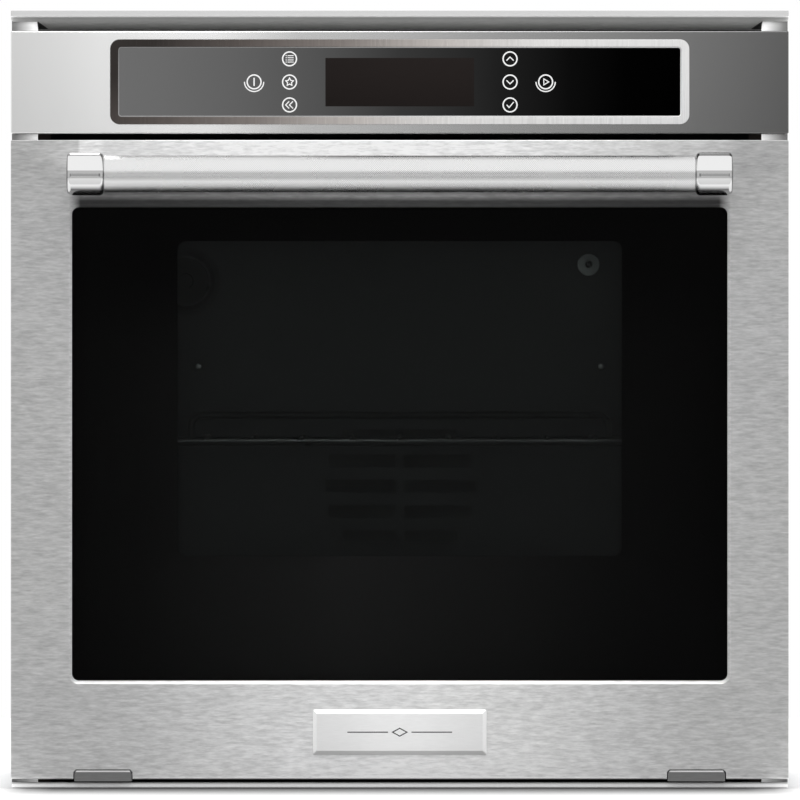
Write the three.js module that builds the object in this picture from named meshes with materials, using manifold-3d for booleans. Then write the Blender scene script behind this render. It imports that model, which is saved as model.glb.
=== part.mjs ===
// Built-in wall oven, 595 mm class, single cavity, drop-down door.
// Units are millimetres, +Z up, +X to the right of somebody facing the oven, +Y into the cabinet.
// The geometry below is written in a working frame whose Y = 0 is the back of the mounting flange (the plane of the
// cabinet's face); the exported group then shifts everything so that the origin is at the middle of the base.
import * as THREE from "three";
import { mergeVertices } from "three/addons/utils/BufferGeometryUtils.js";
import Module from "manifold-3d";

const wasm = await Module();
wasm.setup();

// ------------------------------------------------------------------ driving dimensions
const FRONT_HALF_W = 297.5; // half width of the front
const FACE_HALF_W = 297.2; // half width of door and fascia
const TOP_Z = 595; // overall height
const FACE_Y = -45; // front plane of door and fascia
const SHEET = 1.2; // sheet metal thickness
const GAP = 0.3; // clearance between separate pieces
const CHASSIS_HALF_W = 278; // outer half width of the body that enters the cabinet
const CHASSIS_REAR_Y = 520; // back of the rear panel
const REAR_Y = 549; // back of the terminal box
const HANDLE_Y = -92.6, HANDLE_Z = 469.5, HANDLE_R = 14, CAP_R = 16.4;
const MOUTH_HALF_W = 238, MOUTH_Z0 = 76, MOUTH_Z1 = 444, CAVITY_REAR_Y = 450; // inside of the cavity
const DOOR_Z0 = 7.7, DOOR_Z1 = 496.1;
const FASCIA_Z0 = 501, FASCIA_Z1 = 579.5;
const WINDOW_HALF_W = 250.5, WINDOW_Z0 = 82.9, WINDOW_Z1 = 444.7;
const HINGE_X = 226.8, HINGE_Y = -30.2, HINGE_Z = 18.7; // door pivot axis, along X
const CRANK = 12 * Math.SQRT1_2; // crank stud offset on both axes at rest
const RACK_Z = 265.4;
const FAN_Z = 229; // convection fan axis height
const BLOWER_Y = 408.5;
const CENTRE_Y = (HANDLE_Y - CAP_R + REAR_Y) / 2; // middle of the overall depth

// ------------------------------------------------------------------ helpers
function solid(geometry) {
  const flat = geometry.index ? geometry.toNonIndexed() : geometry.clone();
  const bare = new THREE.BufferGeometry().setAttribute("position", flat.getAttribute("position"));
  const merged = mergeVertices(bare, 1e-4);
  const idx = merged.index.array, pos = merged.attributes.position.array, keep = [];
  for (let i = 0; i < idx.length; i += 3) {
    const [a, b, c] = [idx[i], idx[i + 1], idx[i + 2]];
    if (a !== b && b !== c && a !== c) keep.push(a, b, c);
  }
  const made = new wasm.Manifold(new wasm.Mesh({ numProp: 3, vertProperties: new Float32Array(pos), triVerts: new Uint32Array(keep) }));
  if (made.volume() < 0) throw new Error("inside out");
  return made;
}
function geometryOf(s) {
  const m = s.getMesh(), v = new Float32Array(m.numVert * 3);
  for (let i = 0; i < m.numVert; i++) v.set(m.vertProperties.subarray(i * m.numProp, i * m.numProp + 3), i * 3);
  const g = new THREE.BufferGeometry().setAttribute("position", new THREE.BufferAttribute(v, 3)).setIndex(new THREE.BufferAttribute(new Uint32Array(m.triVerts), 1)).toNonIndexed();
  g.computeVertexNormals();
  return g;
}
const join = (...s) => s.flat().reduce((a, b) => a.add(b));
const cut = (a, ...s) => s.flat().reduce((x, y) => x.subtract(y), a);

function box(x0, x1, y0, y1, z0, z1) {
  if (x1 < x0) [x0, x1] = [x1, x0];
  return solid(new THREE.BoxGeometry(x1 - x0, y1 - y0, z1 - z0).translate((x0 + x1) / 2, (y0 + y1) / 2, (z0 + z1) / 2));
}
// A cylinder along axis from a0 to a1; c1, c2 are its centre on the other two axes in X, Y, Z order.
function rod(axis, r, a0, a1, c1, c2, n = 10, r2 = r) {
  if (a1 < a0) [a0, a1] = [a1, a0];
  const g = new THREE.CylinderGeometry(r2, r, a1 - a0, n);
  const mid = (a0 + a1) / 2;
  if (axis === "x") g.rotateZ(-Math.PI / 2).translate(mid, c1, c2);
  else if (axis === "y") g.translate(c1, mid, c2);
  else g.rotateX(Math.PI / 2).translate(c1, c2, mid);
  return solid(g);
}
// Turns an extrusion made in (u, v) along w into one along the named axis.
function along(axis, g, a0) {
  if (axis === "x") g.applyMatrix4(new THREE.Matrix4().makeBasis(new THREE.Vector3(0, 1, 0), new THREE.Vector3(0, 0, 1), new THREE.Vector3(1, 0, 0))).translate(a0, 0, 0);
  else if (axis === "z") g.translate(0, 0, a0);
  return g;
}
// Extrudes a THREE.Shape. axis x: the shape is drawn in (y, z). axis z: in (x, y). axis y: in (x, z).
function extrude(shape, axis, a0, a1, segments = 4) {
  const g = new THREE.ExtrudeGeometry(shape, { depth: a1 - a0, bevelEnabled: false, curveSegments: segments });
  if (axis === "y") return solid(g.applyMatrix4(new THREE.Matrix4().makeBasis(new THREE.Vector3(1, 0, 0), new THREE.Vector3(0, 0, 1), new THREE.Vector3(0, -1, 0))).translate(0, a1, 0));
  return solid(along(axis, g, a0));
}
const polygon = (pts) => new THREE.Shape(pts.map(([u, v]) => new THREE.Vector2(u, v)));
function roundRect(u0, u1, v0, v1, r, Type = THREE.Shape) {
  const s = new Type();
  s.moveTo(u0 + r, v0);
  s.lineTo(u1 - r, v0);
  s.absarc(u1 - r, v0 + r, r, -Math.PI / 2, 0, false);
  s.lineTo(u1, v1 - r);
  s.absarc(u1 - r, v1 - r, r, 0, Math.PI / 2, false);
  s.lineTo(u0 + r, v1);
  s.absarc(u0 + r, v1 - r, r, Math.PI / 2, Math.PI, false);
  s.lineTo(u0, v0 + r);
  s.absarc(u0 + r, v0 + r, r, Math.PI, 1.5 * Math.PI, false);
  return s;
}
const slab = (x0, x1, y0, y1, z0, z1, r, seg = 4) => extrude(roundRect(x0, x1, z0, z1, r), "y", y0, y1, seg);

// A curve that passes exactly through its points, one station per point.
class Stations extends THREE.Curve {
  constructor(points) {
    super();
    this.points = points;
  }
  at(u) {
    return Math.min(this.points.length - 1, Math.max(0, Math.round(u * (this.points.length - 1))));
  }
  getPoint(u) { return this.points[this.at(u)].clone(); }
  getPointAt(u) { return this.getPoint(u); }
  getTangent(u) {
    const i = this.at(u), p = this.points;
    const a = p[Math.max(0, i - 1)], b = p[Math.min(p.length - 1, i + 1)], c = p[i];
    const d1 = c.clone().sub(a).normalize(), d2 = b.clone().sub(c).normalize();
    return d1.add(d2).normalize();
  }
  getTangentAt(u) { return this.getTangent(u); }
}
// Rounds the corners of a polyline with arcs of radius r.
function bent(points, r, seg = 4) {
  const p = points.map((q) => new THREE.Vector3(...q)), out = [p[0]];
  for (let i = 1; i < p.length - 1; i++) {
    const d1 = p[i - 1].clone().sub(p[i]).normalize(), d2 = p[i + 1].clone().sub(p[i]).normalize();
    const angle = d1.angleTo(d2);
    if (Math.abs(Math.PI - angle) < 0.02) continue;
    const reach = r / Math.tan(angle / 2), centre = p[i].clone().add(d1.clone().add(d2).normalize().multiplyScalar(r / Math.sin(angle / 2)));
    const a = p[i].clone().addScaledVector(d1, reach).sub(centre), b = p[i].clone().addScaledVector(d2, reach).sub(centre);
    const sweep = a.angleTo(b);
    for (let k = 0; k <= seg; k++) {
      const t = k / seg;
      out.push(centre.clone().addScaledVector(a, Math.sin((1 - t) * sweep) / Math.sin(sweep)).addScaledVector(b, Math.sin(t * sweep) / Math.sin(sweep)));
    }
  }
  out.push(p[p.length - 1]);
  return out;
}
function tube(points, r, sides = 6) {
  const section = new THREE.Shape(Array.from({ length: sides }, (_, i) => new THREE.Vector2(r * Math.cos((i * 2 * Math.PI) / sides), r * Math.sin((i * 2 * Math.PI) / sides))));
  return solid(new THREE.ExtrudeGeometry(section, { steps: points.length - 1, bevelEnabled: false, extrudePath: new Stations(points) }));
}
// A lathe about the X axis: profile is [x, radius] pairs, starting and ending on the axis.
function lathe(axis, profile, c1, c2, n = 32) {
  const g = new THREE.LatheGeometry(profile.map(([a, r]) => new THREE.Vector2(r, a)), n);
  if (axis === "x") g.rotateZ(-Math.PI / 2).translate(0, c1, c2);
  else if (axis === "y") g.translate(c1, 0, c2);
  else g.rotateX(Math.PI / 2).translate(c1, c2, 0);
  return solid(g);
}

const finishes = {
  brushed: { color: 0xbdbdbb, roughness: 0.32, metalness: 1 },
  satin: { color: 0xb4b4b2, roughness: 0.2, metalness: 1 },
  chrome: { color: 0xe4e4e4, roughness: 0.06, metalness: 1 },
  knurled: { color: 0xc4c4c2, roughness: 0.35, metalness: 1 },
  galvanised: { color: 0x9aa0a4, roughness: 0.5, metalness: 1 },
  enamel: { color: 0x17181b, roughness: 0.22, metalness: 0 },
  blackGlass: { color: 0x050505, roughness: 0.05, metalness: 0 },
  clearGlass: { color: 0xd8e4e0, roughness: 0.03, metalness: 0 },
  seal: { color: 0x2a2927, roughness: 0.8, metalness: 0 },
  plastic: { color: 0x1a1a1a, roughness: 0.5, metalness: 0 },
  wire: { color: 0xc9c9c9, roughness: 0.2, metalness: 1 },
  element: { color: 0x3b3a38, roughness: 0.5, metalness: 0.8 },
  wool: { color: 0xd8cfa6, roughness: 1, metalness: 0 },
  board: { color: 0x1e5a34, roughness: 0.6, metalness: 0 },
  aluminium: { color: 0xa9abac, roughness: 0.4, metalness: 1 },
  plate: { color: 0xe9e9e7, roughness: 0.2, metalness: 1 },
};
const materials = Object.fromEntries(Object.entries(finishes).map(([k, v]) => [k, new THREE.MeshStandardMaterial({ name: k, ...v })]));

const oven = new THREE.Group();
const chassis = new THREE.Group(), door = new THREE.Group(), rackGroup = new THREE.Group(), rotors = new THREE.Group(), links = new THREE.Group();
oven.add(chassis, door, rackGroup, rotors, links);
function put(group, name, made, finish) {
  const mesh = new THREE.Mesh(geometryOf(made), materials[finish]);
  mesh.name = name;
  group.add(mesh);
  return mesh;
}
const SIDES = [["left", -1], ["right", 1]];

// ------------------------------------------------------------------ front frame: the stamped plate round the cavity mouth
{
  // The flange proper, which rests on the cabinet, is coined half a millimetre proud of the plate's back.
  let f = join(box(-FRONT_HALF_W, FRONT_HALF_W, -2, 0, 2.0, TOP_Z - 0.3), SIDES.map(([, s]) => box(s * 280, s * 297, -1, 0.5, 30, 570)));
  const cuts = [
    slab(-MOUTH_HALF_W, MOUTH_HALF_W, -5, 5, MOUTH_Z0, MOUTH_Z1, 14, 3),
    box(-195, 195, -5, 5, 478, 499), // cooling-air outlet above the door
    box(-262, 262, -5, 5, 512, 574), // opening behind the control fascia
    rod("y", 3.6, -5, 5, 258, 481, 10), // door switch
  ];
  for (const [, s] of SIDES) {
    cuts.push(box(s * (HINGE_X - 10.6), s * (HINGE_X + 10.6), -5, 5, 10.4, 27.2)); // hinge arm
    cuts.push(box(s * (HINGE_X + 23.6), s * (HINGE_X + 28.4), -5, 5, 22.6, 31.4)); // spring rod
    for (const z of [110, 300, 545]) cuts.push(rod("y", 2.6, -5, 5, s * 288, z, 8)); // cabinet screws
  }
  put(chassis, "front_frame", cut(f, cuts), "satin");
}

// ------------------------------------------------------------------ cavity
{
  const w = 1.5;
  let liner = cut(
    slab(-MOUTH_HALF_W - w, MOUTH_HALF_W + w, GAP, CAVITY_REAR_Y + w, MOUTH_Z0 - w, MOUTH_Z1 + w, 15.5, 3),
    slab(-MOUTH_HALF_W, MOUTH_HALF_W, -5, CAVITY_REAR_Y, MOUTH_Z0, MOUTH_Z1, 14, 3),
  );
  const r = (radius, x, z, n = 8) => rod("y", radius, CAVITY_REAR_Y - 5, CAVITY_REAR_Y + 8, x, z, n);
  liner = cut(liner, [r(8, 0, FAN_Z), r(24, -170, 392, 14), r(5.5, -10, FAN_Z - 88), r(5.5, 10, FAN_Z - 88), r(6, -30, 428), r(6, 30, 428), r(4, 150, 405)]);
  put(chassis, "cavity_liner", liner, "enamel");

  // Glass-wool blanket round the sides, top, bottom and back of the cavity.
  let wool = cut(box(-262, 262, 1.5, 478, 52, 472), box(-240.3, 240.3, -5, 452.5, 60, 447));
  wool = cut(wool, [rod("y", 32, 440, 490, 0, FAN_Z, 12), rod("y", 30, 440, 490, -170, 392, 12), box(-42, 42, 440, 490, 418, 438), box(-20, 20, 440, 490, 131, 151), box(-36, 36, 440, 490, 61, 73), rod("y", 6, 440, 490, 150, 405, 8)]);
  put(chassis, "insulation_blanket", wool, "wool");

  // Door seal: a soft loop clipped to the front frame.
  put(chassis, "door_gasket", cut(slab(-257, 257, -10, -2 - GAP, 57, 463, 30, 3), slab(-247, 247, -20, 5, 67, 453, 20, 3)), "seal");
}

// Fan cover: shallow pressed box with an intake grille in front of the fan and outlets at its sides.
{
  const z0 = 120, z1 = 338, y0 = 422, y1 = CAVITY_REAR_Y - GAP;
  let c = cut(slab(-176, 176, y0, y1, z0, z1, 12, 3), slab(-176 + SHEET, 176 - SHEET, y0 + SHEET, y1 + 5, z0 + SHEET, z1 - SHEET, 10.8, 3));
  const cuts = [];
  for (let row = -2; row <= 2; row++) {
    const half = Math.sqrt(60 * 60 - (row * 20) * (row * 20)), z = FAN_Z + row * 20;
    cuts.push(box(-half, -3, y0 - 3, y0 + 4, z - 5, z + 5), box(3, half, y0 - 3, y0 + 4, z - 5, z + 5));
  }
  for (const s of [-1, 1]) for (const z of [180, 278]) cuts.push(box(s * 170, s * 180, 431, 443, z - 34, z + 34));
  for (const x of [-80, 80]) cuts.push(box(x - 50, x + 50, 431, 443, z1 - 4, z1 + 4));
  put(chassis, "fan_cover", cut(c, cuts), "enamel");
}

// Heating elements.
{
  const ring = [];
  ring.push(new THREE.Vector3(-10, 470, FAN_Z - 88), new THREE.Vector3(-10, 445, FAN_Z - 88), new THREE.Vector3(-11, 438, FAN_Z - 88.2));
  const a0 = -Math.PI / 2 - 0.22, a1 = -Math.PI / 2 - 2 * Math.PI + 0.22, n = 22;
  for (let i = 0; i <= n; i++) {
    const a = a0 + ((a1 - a0) * i) / n;
    ring.push(new THREE.Vector3(88 * Math.cos(a), 436, FAN_Z + 88 * Math.sin(a)));
  }
  ring.push(new THREE.Vector3(11, 438, FAN_Z - 88.2), new THREE.Vector3(10, 445, FAN_Z - 88), new THREE.Vector3(10, 470, FAN_Z - 88));
  put(chassis, "ring_element", tube(ring, 3.4, 6), "element");

  const zB = 428;
  const left = [[-30, 470], [-30, 408], [-196, 408], [-196, 60], [-140, 60], [-140, 372], [-84, 372], [-84, 60], [-28, 60], [-28, 372]];
  const broil = [...left, ...left.map(([x, y]) => [-x, y]).reverse()];
  put(chassis, "broil_element", tube(bent(broil.map(([x, y]) => [x, y, zB]), 17, 2), 3.5, 6), "element");

  const bake = [[-25, 492], [-25, 400], [-200, 400], [-200, 50], [-70, 50], [-70, 330], [70, 330], [70, 50], [200, 50], [200, 400], [25, 400], [25, 492]];
  put(chassis, "bake_element", tube(bent(bake.map(([x, y]) => [x, y, 67]), 30, 2), 3.3, 6), "element");
}

// Lamp, probe, fan motor.
{
  const x = -170, z = 392;
  put(chassis, "lamp_lens", cut(lathe("y", [[425, 0], [425.6, 9], [428, 16], [432, 20.5], [438, 23], [445.5, 23.6], [445.5, 27], [449.5, 27], [449.5, 0]], x, z, 14), lathe("y", [[428, 0], [429, 8], [432, 14.5], [437, 18.6], [443, 20.4], [460, 20.4], [460, 0]], x, z, 14)), "clearGlass");
  put(chassis, "lamp_housing", join(rod("y", 18.6, 446, 452, x, z, 12), rod("y", 22.4, 450, 486, x, z, 14), rod("y", 6, 433, 447, x, z, 10)), "plastic");
  put(chassis, "temperature_probe", join(rod("y", 2.6, 380, 468, 150, 405, 8), rod("y", 9, 446.5, 449.6, 150, 405, 12)), "wire");
  put(chassis, "convection_motor", join(rod("y", 28, 480, 513, 0, FAN_Z, 24), box(-46, 46, 478.8, 480.2, FAN_Z - 14, FAN_Z + 14), box(-14, 14, 478.8, 480.2, FAN_Z - 46, FAN_Z + 46), box(-20, 20, 490, 506, FAN_Z - 40, FAN_Z - 20)), "aluminium");
}

// Rack guides: one wire ladder on each side wall.
for (const [side, s] of SIDES) {
  const parts = [];
  for (const y of [62, 384]) {
    parts.push(rod("z", 2.8, 112, 408, s * 233.4, y, 6));
    for (const z of [120, 400]) parts.push(rod("x", 2.4, s * 233.4, s * 237.7, y, z, 6));
  }
  for (const level of [145.4, 205.4, 265.4, 325.4, 385.4]) for (const dz of [-5.9, 6.6]) parts.push(box(s * 229 - 2.1, s * 229 + 2.1, 30, 402, level + dz - 2.1, level + dz + 2.1));
  put(chassis, "rack_guide_" + side, join(parts), "wire");
}

// Wire rack with a raised stop at the back.
{
  const parts = [], x = 226, y0 = 22, y1 = 398;
  for (const s of [-1, 1]) {
    parts.push(rod("y", 3, y0 - 2, y1 + 2, s * x, RACK_Z, 6));
    parts.push(rod("z", 2.6, RACK_Z, RACK_Z + 20, s * 165, y1, 6));
  }
  for (const y of [y0, 148, 273, y1]) parts.push(rod("x", y === y0 || y === y1 ? 3 : 2.4, -x, x, y, RACK_Z, 6));
  parts.push(rod("x", 3, -167, 167, y1, RACK_Z + 20, 6));
  for (let k = -5; k <= 5; k++) parts.push(box(k * 37.7 - 1.7, k * 37.7 + 1.7, y0 - 3, y1, RACK_Z + 1.5, RACK_Z + 4.9));
  put(rackGroup, "wire_rack", join(parts), "wire");
}

// ------------------------------------------------------------------ rotors
{
  const blades = [rod("y", 72, 443, 444.2, 0, FAN_Z, 28), rod("y", 10, 427.5, 444, 0, FAN_Z, 16), rod("y", 3.5, 440, 478.3, 0, FAN_Z, 10)];
  for (let i = 0; i < 8; i++) {
    const g = new THREE.BoxGeometry(56, 15.5, 1.4).translate(42, 435.6, 0).applyMatrix4(new THREE.Matrix4().makeRotationY((i * Math.PI) / 4)).translate(0, 0, FAN_Z);
    blades.push(solid(g));
  }
  put(rotors, "convection_fan", join(blades), "aluminium");

  const imp = [rod("z", 60, 481, 482.4, 0, BLOWER_Y, 20), rod("z", 8, 481, 521.5, 0, BLOWER_Y, 16)];
  for (let i = 0; i < 12; i++) {
    const g = new THREE.BoxGeometry(17, 1.4, 36).rotateZ(0.45).translate(51, 0, 500).rotateZ((i * Math.PI) / 6).translate(0, BLOWER_Y, 0);
    imp.push(solid(g));
  }
  imp.push(cut(rod("z", 60, 516.5, 518.6, 0, BLOWER_Y, 20), rod("z", 46, 510, 525, 0, BLOWER_Y, 20)));
  put(rotors, "blower_impeller", join(imp), "aluminium");
}

// ------------------------------------------------------------------ cooling air: duct, blower housing and motor
{
  put(chassis, "air_duct", cut(box(-200, 200, GAP, 330, 476, 500.5), box(-198.8, 198.8, -5, 340, 477.2, 499.3)), "galvanised");
  let h = join(rod("z", 76, 476, 530, 0, BLOWER_Y, 20), box(-64, 64, 330.5, BLOWER_Y, 476, 500.5));
  h = cut(h, [rod("z", 74.6, 477.4, 528.6, 0, BLOWER_Y, 20), box(-62.8, 62.8, 320, BLOWER_Y, 477.4, 499.2), rod("z", 44, 520, 540, 0, BLOWER_Y, 20)]);
  put(chassis, "blower_housing", h, "galvanised");
  const m = [rod("z", 30, 535, 566, 0, BLOWER_Y, 24), rod("z", 3, 521.9, 536, 0, BLOWER_Y, 10)];
  for (let i = 0; i < 3; i++) m.push(solid(new THREE.BoxGeometry(42, 12, 5).translate(45, 0, 533).rotateZ((i * 2 * Math.PI) / 3 + 0.5).translate(0, BLOWER_Y, 0)));
  put(chassis, "blower_motor", join(m), "aluminium");
}

// ------------------------------------------------------------------ outer casing
for (const [side, s] of SIDES) {
  const x = (v) => s * v;
  const pts = [[x(278), 0.5], [x(278), 518.4], [x(264), 518.4], [x(264), 517.2], [x(276.8), 517.2], [x(276.8), 1.7], [x(269.5), 1.7], [x(269.5), 0.5]];
  put(chassis, "side_panel_" + side, extrude(polygon(s > 0 ? pts : pts.reverse()), "z", 8.3, 577.5), "galvanised");
  const rail = [[x(232), 0], [x(264), 0], [x(264), 8], [x(262.5), 8], [x(262.5), 1.5], [x(233.5), 1.5], [x(233.5), 8], [x(232), 8]];
  put(chassis, "base_rail_" + side, extrude(polygon(s > 0 ? rail : rail.reverse()), "y", 20, 505), "galvanised");
}
{
  const slots = [];
  for (const x of [-190, -70]) for (let i = 0; i < 6; i++) slots.push(box(x - 45, x + 45, 510, 530, 330 + i * 24, 336 + i * 24));
  slots.push(rod("y", 9, 510, 530, 185, 535, 12));
  put(chassis, "rear_panel", cut(box(-277.5, 277.5, 518.8, CHASSIS_REAR_Y, 8.3, 577.5), slots), "galvanised");
  const vents = [];
  for (let i = 0; i < 6; i++) for (const x of [-60, 60]) vents.push(box(x - 45, x + 45, 340 + i * 24, 346 + i * 24, 570, 590));
  put(chassis, "top_panel", cut(box(-278, 278, 0.5, CHASSIS_REAR_Y, 577.8, 579), vents), "galvanised");
  put(chassis, "base_panel", box(-276.5, 276.5, 2, 516.9, 8.3, 9.5), "galvanised");
}

// Mains connection box on the back, with its gland; the supply cable is not part of the appliance.
{
  const t = cut(box(140, 230, CHASSIS_REAR_Y + GAP, REAR_Y, 505, 565), [box(141.5, 228.5, CHASSIS_REAR_Y - 5, REAR_Y - 1.5, 506.5, 563.5), rod("z", 9.4, 500, 510, 185, 535, 16)]);
  put(chassis, "terminal_box", t, "galvanised");
  put(chassis, "cable_gland", cut(join(rod("z", 13, 492, 504.7, 185, 535, 6), rod("z", 9, 486, 511, 185, 535, 16)), rod("z", 6.5, 480, 520, 185, 535, 16)), "plastic");
}

// ------------------------------------------------------------------ control section
{
  let f = cut(box(-FACE_HALF_W, FACE_HALF_W, FACE_Y, -2.5, FASCIA_Z0, FASCIA_Z1), box(-FACE_HALF_W + SHEET, FACE_HALF_W - SHEET, FACE_Y + SHEET, 5, FASCIA_Z0 + SHEET, FASCIA_Z1 - SHEET));
  f = cut(f, slab(-219, 219, -60, -30, 510.4, 570.7, 5));
  put(chassis, "control_fascia", f, "brushed");
  put(
    chassis,
    "control_bezel",
    cut(join(slab(-221.3, 221.3, -46.4, FACE_Y - GAP, 508.1, 573, 7.3, 3), slab(-218.6, 218.6, FACE_Y - GAP - 0.2, -41, 510.8, 570.3, 4.6, 3)), slab(-215.2, 215.2, -60, -30, 513.8, 567.3, 2.5, 2)),
    "satin",
  );
  put(chassis, "control_glass", slab(-214.9, 214.9, -45.7, -42.7, 514.1, 567, 2.2, 2), "blackGlass");
  put(chassis, "display_module", join(box(-57, 57, -42.4, -36, 521.5, 559), box(-60, 60, -36.2, -33.5, 519, 561.5)), "plastic");
  const b = [box(-160, 160, -30, -28.4, 514, 568), box(-150, -118, -28.6, -16, 520, 545), box(-100, -70, -28.6, -22, 535, 560), box(20, 60, -28.6, -24, 528, 552), box(90, 112, -28.6, -12, 520, 540), box(125, 150, -28.6, -18, 530, 562), box(-40, -20, -28.6, -25, 518, 530)];
  for (const x of [-50, -38, 70, 80]) b.push(rod("y", 4, -28.6, -14, x, 555, 10));
  for (const x of [-120, 120]) b.push(rod("y", 3, -36, -29, x, 517.5, 8));
  put(chassis, "control_board", join(b), "board");
}

// Top trim: a folded profile whose front lip sits above a sloping shadow gap.
{
  const outer = [[FACE_Y, 590.7], [-2.3, 580.9], [-2.3, TOP_Z], [FACE_Y, TOP_Z]];
  const s = polygon(outer);
  s.holes.push(new THREE.Path([[-43.4, 593.6], [-3.6, 593.6], [-3.6, 582.8], [-42.9, 591.8]].map(([u, v]) => new THREE.Vector2(u, v))));
  let t = extrude(s, "x", -FACE_HALF_W, FACE_HALF_W);
  t = cut(t, [box(-310, -277.4, -60, 5, 570, 587.6), box(277.4, 310, -60, 5, 570, 587.6)]);
  put(chassis, "top_trim", t, "brushed");
}
// Bottom trim: a hemmed lip under the door.
put(chassis, "bottom_trim", extrude(polygon([[-14, 1.4], [-13.1, 0.5], [16, 0.5], [16, 1.7], [-8.5, 1.7], [-8.5, 4.6], [-13.1, 4.6], [-14, 3.7]]), "x", -FACE_HALF_W, FACE_HALF_W), "brushed");

// Door switch beside the mouth.
put(chassis, "door_switch_body", cut(box(251, 265, GAP, 24, 474.5, 487.5), rod("y", 3.4, -5, 16, 258, 481, 12)), "plastic");
put(links, "door_switch_plunger", join(rod("y", 3, -9.2, 11, 258, 481, 12), rod("y", 1.8, -10, -9, 258, 481, 12)), "plastic");

// ------------------------------------------------------------------ hinges
for (const [side, s] of SIDES) {
  const hx = s * HINGE_X;
  // Arm: the fixed half, with the knuckle that shows in the notch under the door.
  let arm = join(rod("x", 13, hx - 19.6, hx + 19.6, HINGE_Y, HINGE_Z, 24), box(hx - 9, hx + 9, HINGE_Y, 62, 12.4, 25));
  arm = cut(arm, [rod("x", 4.3, hx - 30, hx + 30, HINGE_Y, HINGE_Z, 12), box(hx - 10, hx + 10, 40, 50, 5, 17.4)]);
  put(chassis, "hinge_arm_" + side, arm, "satin");

  // Receiver: a channel behind the front frame that the arm hooks into, with a lug that the spring pushes on.
  const u = [[hx - 11.4, 9.9], [hx + 11.4, 9.9], [hx + 11.4, 34], [hx + 9.8, 34], [hx + 9.8, 11.5], [hx - 9.8, 11.5], [hx - 9.8, 34], [hx - 11.4, 34]];
  let rec = join(extrude(polygon(u), "y", GAP, 76), rod("x", 2.6, hx - 10.5, hx + 10.5, 45, 14.3, 10), box(hx + s * 10, hx + s * 34, 36, 38.4, 9.9, 36));
  rec = cut(rec, rod("y", 2.7, 30, 45, hx + s * 26, 27, 12));
  put(chassis, "hinge_receiver_" + side, rec, "galvanised");

  // Spring: compressed between the receiver's lug and the collar of the rod as the door comes down.
  const turns = 8, per = 6, pts = [], ys = 41, ye = 109;
  for (let i = 0; i <= turns * per; i++) {
    const a = (i / per) * 2 * Math.PI, y = ys + ((ye - ys) * i) / (turns * per);
    pts.push(new THREE.Vector3(hx + s * 26 + 5 * Math.cos(a), y, 27 + 5 * Math.sin(a)));
  }
  put(chassis, "hinge_spring_" + side, tube(pts, 0.9, 4), "wire");

  // Rod: its slotted eye is driven by the stud on the door's bracket.
  const ry = HINGE_Y + CRANK, rz = HINGE_Z + CRANK;
  let r = join(box(hx + s * 24.8, hx + s * 27.3, ry - 7, ry + 7, 21.8, 34.6), box(hx + s * 24.8, hx + s * 27.3, ry + 6, 20, 24, 30), rod("y", 1.9, 18, 113, hx + s * 26, 27, 8), rod("y", 6.4, 110.2, 113, hx + s * 26, 27, 12));
  r = cut(r, extrude(roundRect(ry - 2.6, ry + 2.6, rz - 2.5, 33.2, 2.4), "x", hx + s * 26 - 6, hx + s * 26 + 6, 3));
  put(links, "spring_rod_" + side, r, "galvanised");

  // Bracket: the half that is screwed to the door, two cheeks, a web, and the flap that closes the notch under the door.
  const cheek = (x0, x1) => {
    const plate = extrude(polygon([[HINGE_Y - 12.7, HINGE_Z], [HINGE_Y + 12.7, HINGE_Z], [-14.2, 40], [-14.2, 66], [-42.9, 66], [-42.9, HINGE_Z]].map(([y, z]) => [y, z])), "x", Math.min(x0, x1), Math.max(x0, x1));
    return join(plate, rod("x", 12.7, x0, x1, HINGE_Y, HINGE_Z, 16));
  };
  const flap = join(extrude(polygon([[hx - 21.9, 6], [hx + 21.9, 6], [hx + 21.6, 12.3], [hx + 20.2, 14.2], [hx - 20.2, 14.2], [hx - 21.6, 12.3]]), "y", -44.6, -43.5), box(hx - 21.8, hx - 20, -44, -39.5, 8, 12), box(hx + 20, hx + 21.8, -44, -39.5, 8, 12));
  let br = join(cheek(hx - 22.1, hx - 20), cheek(hx + 20, hx + 22.1), box(hx - 22.1, hx + 22.1, -16.2, -14.2, 40, 66), rod("x", 2, hx + s * 21, hx + s * 28.6, ry, rz, 12), flap);
  br = cut(br, rod("x", 4.3, hx - 30, hx + 30, HINGE_Y, HINGE_Z, 12));
  put(door, "hinge_bracket_" + side, br, "galvanised");
  put(door, "hinge_pin_" + side, join(rod("x", 4, hx - 24, hx + 24, HINGE_Y, HINGE_Z, 12), rod("x", 6.4, hx - s * 22.4, hx - s * 24.6, HINGE_Y, HINGE_Z, 12)), "wire");
}

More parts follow.
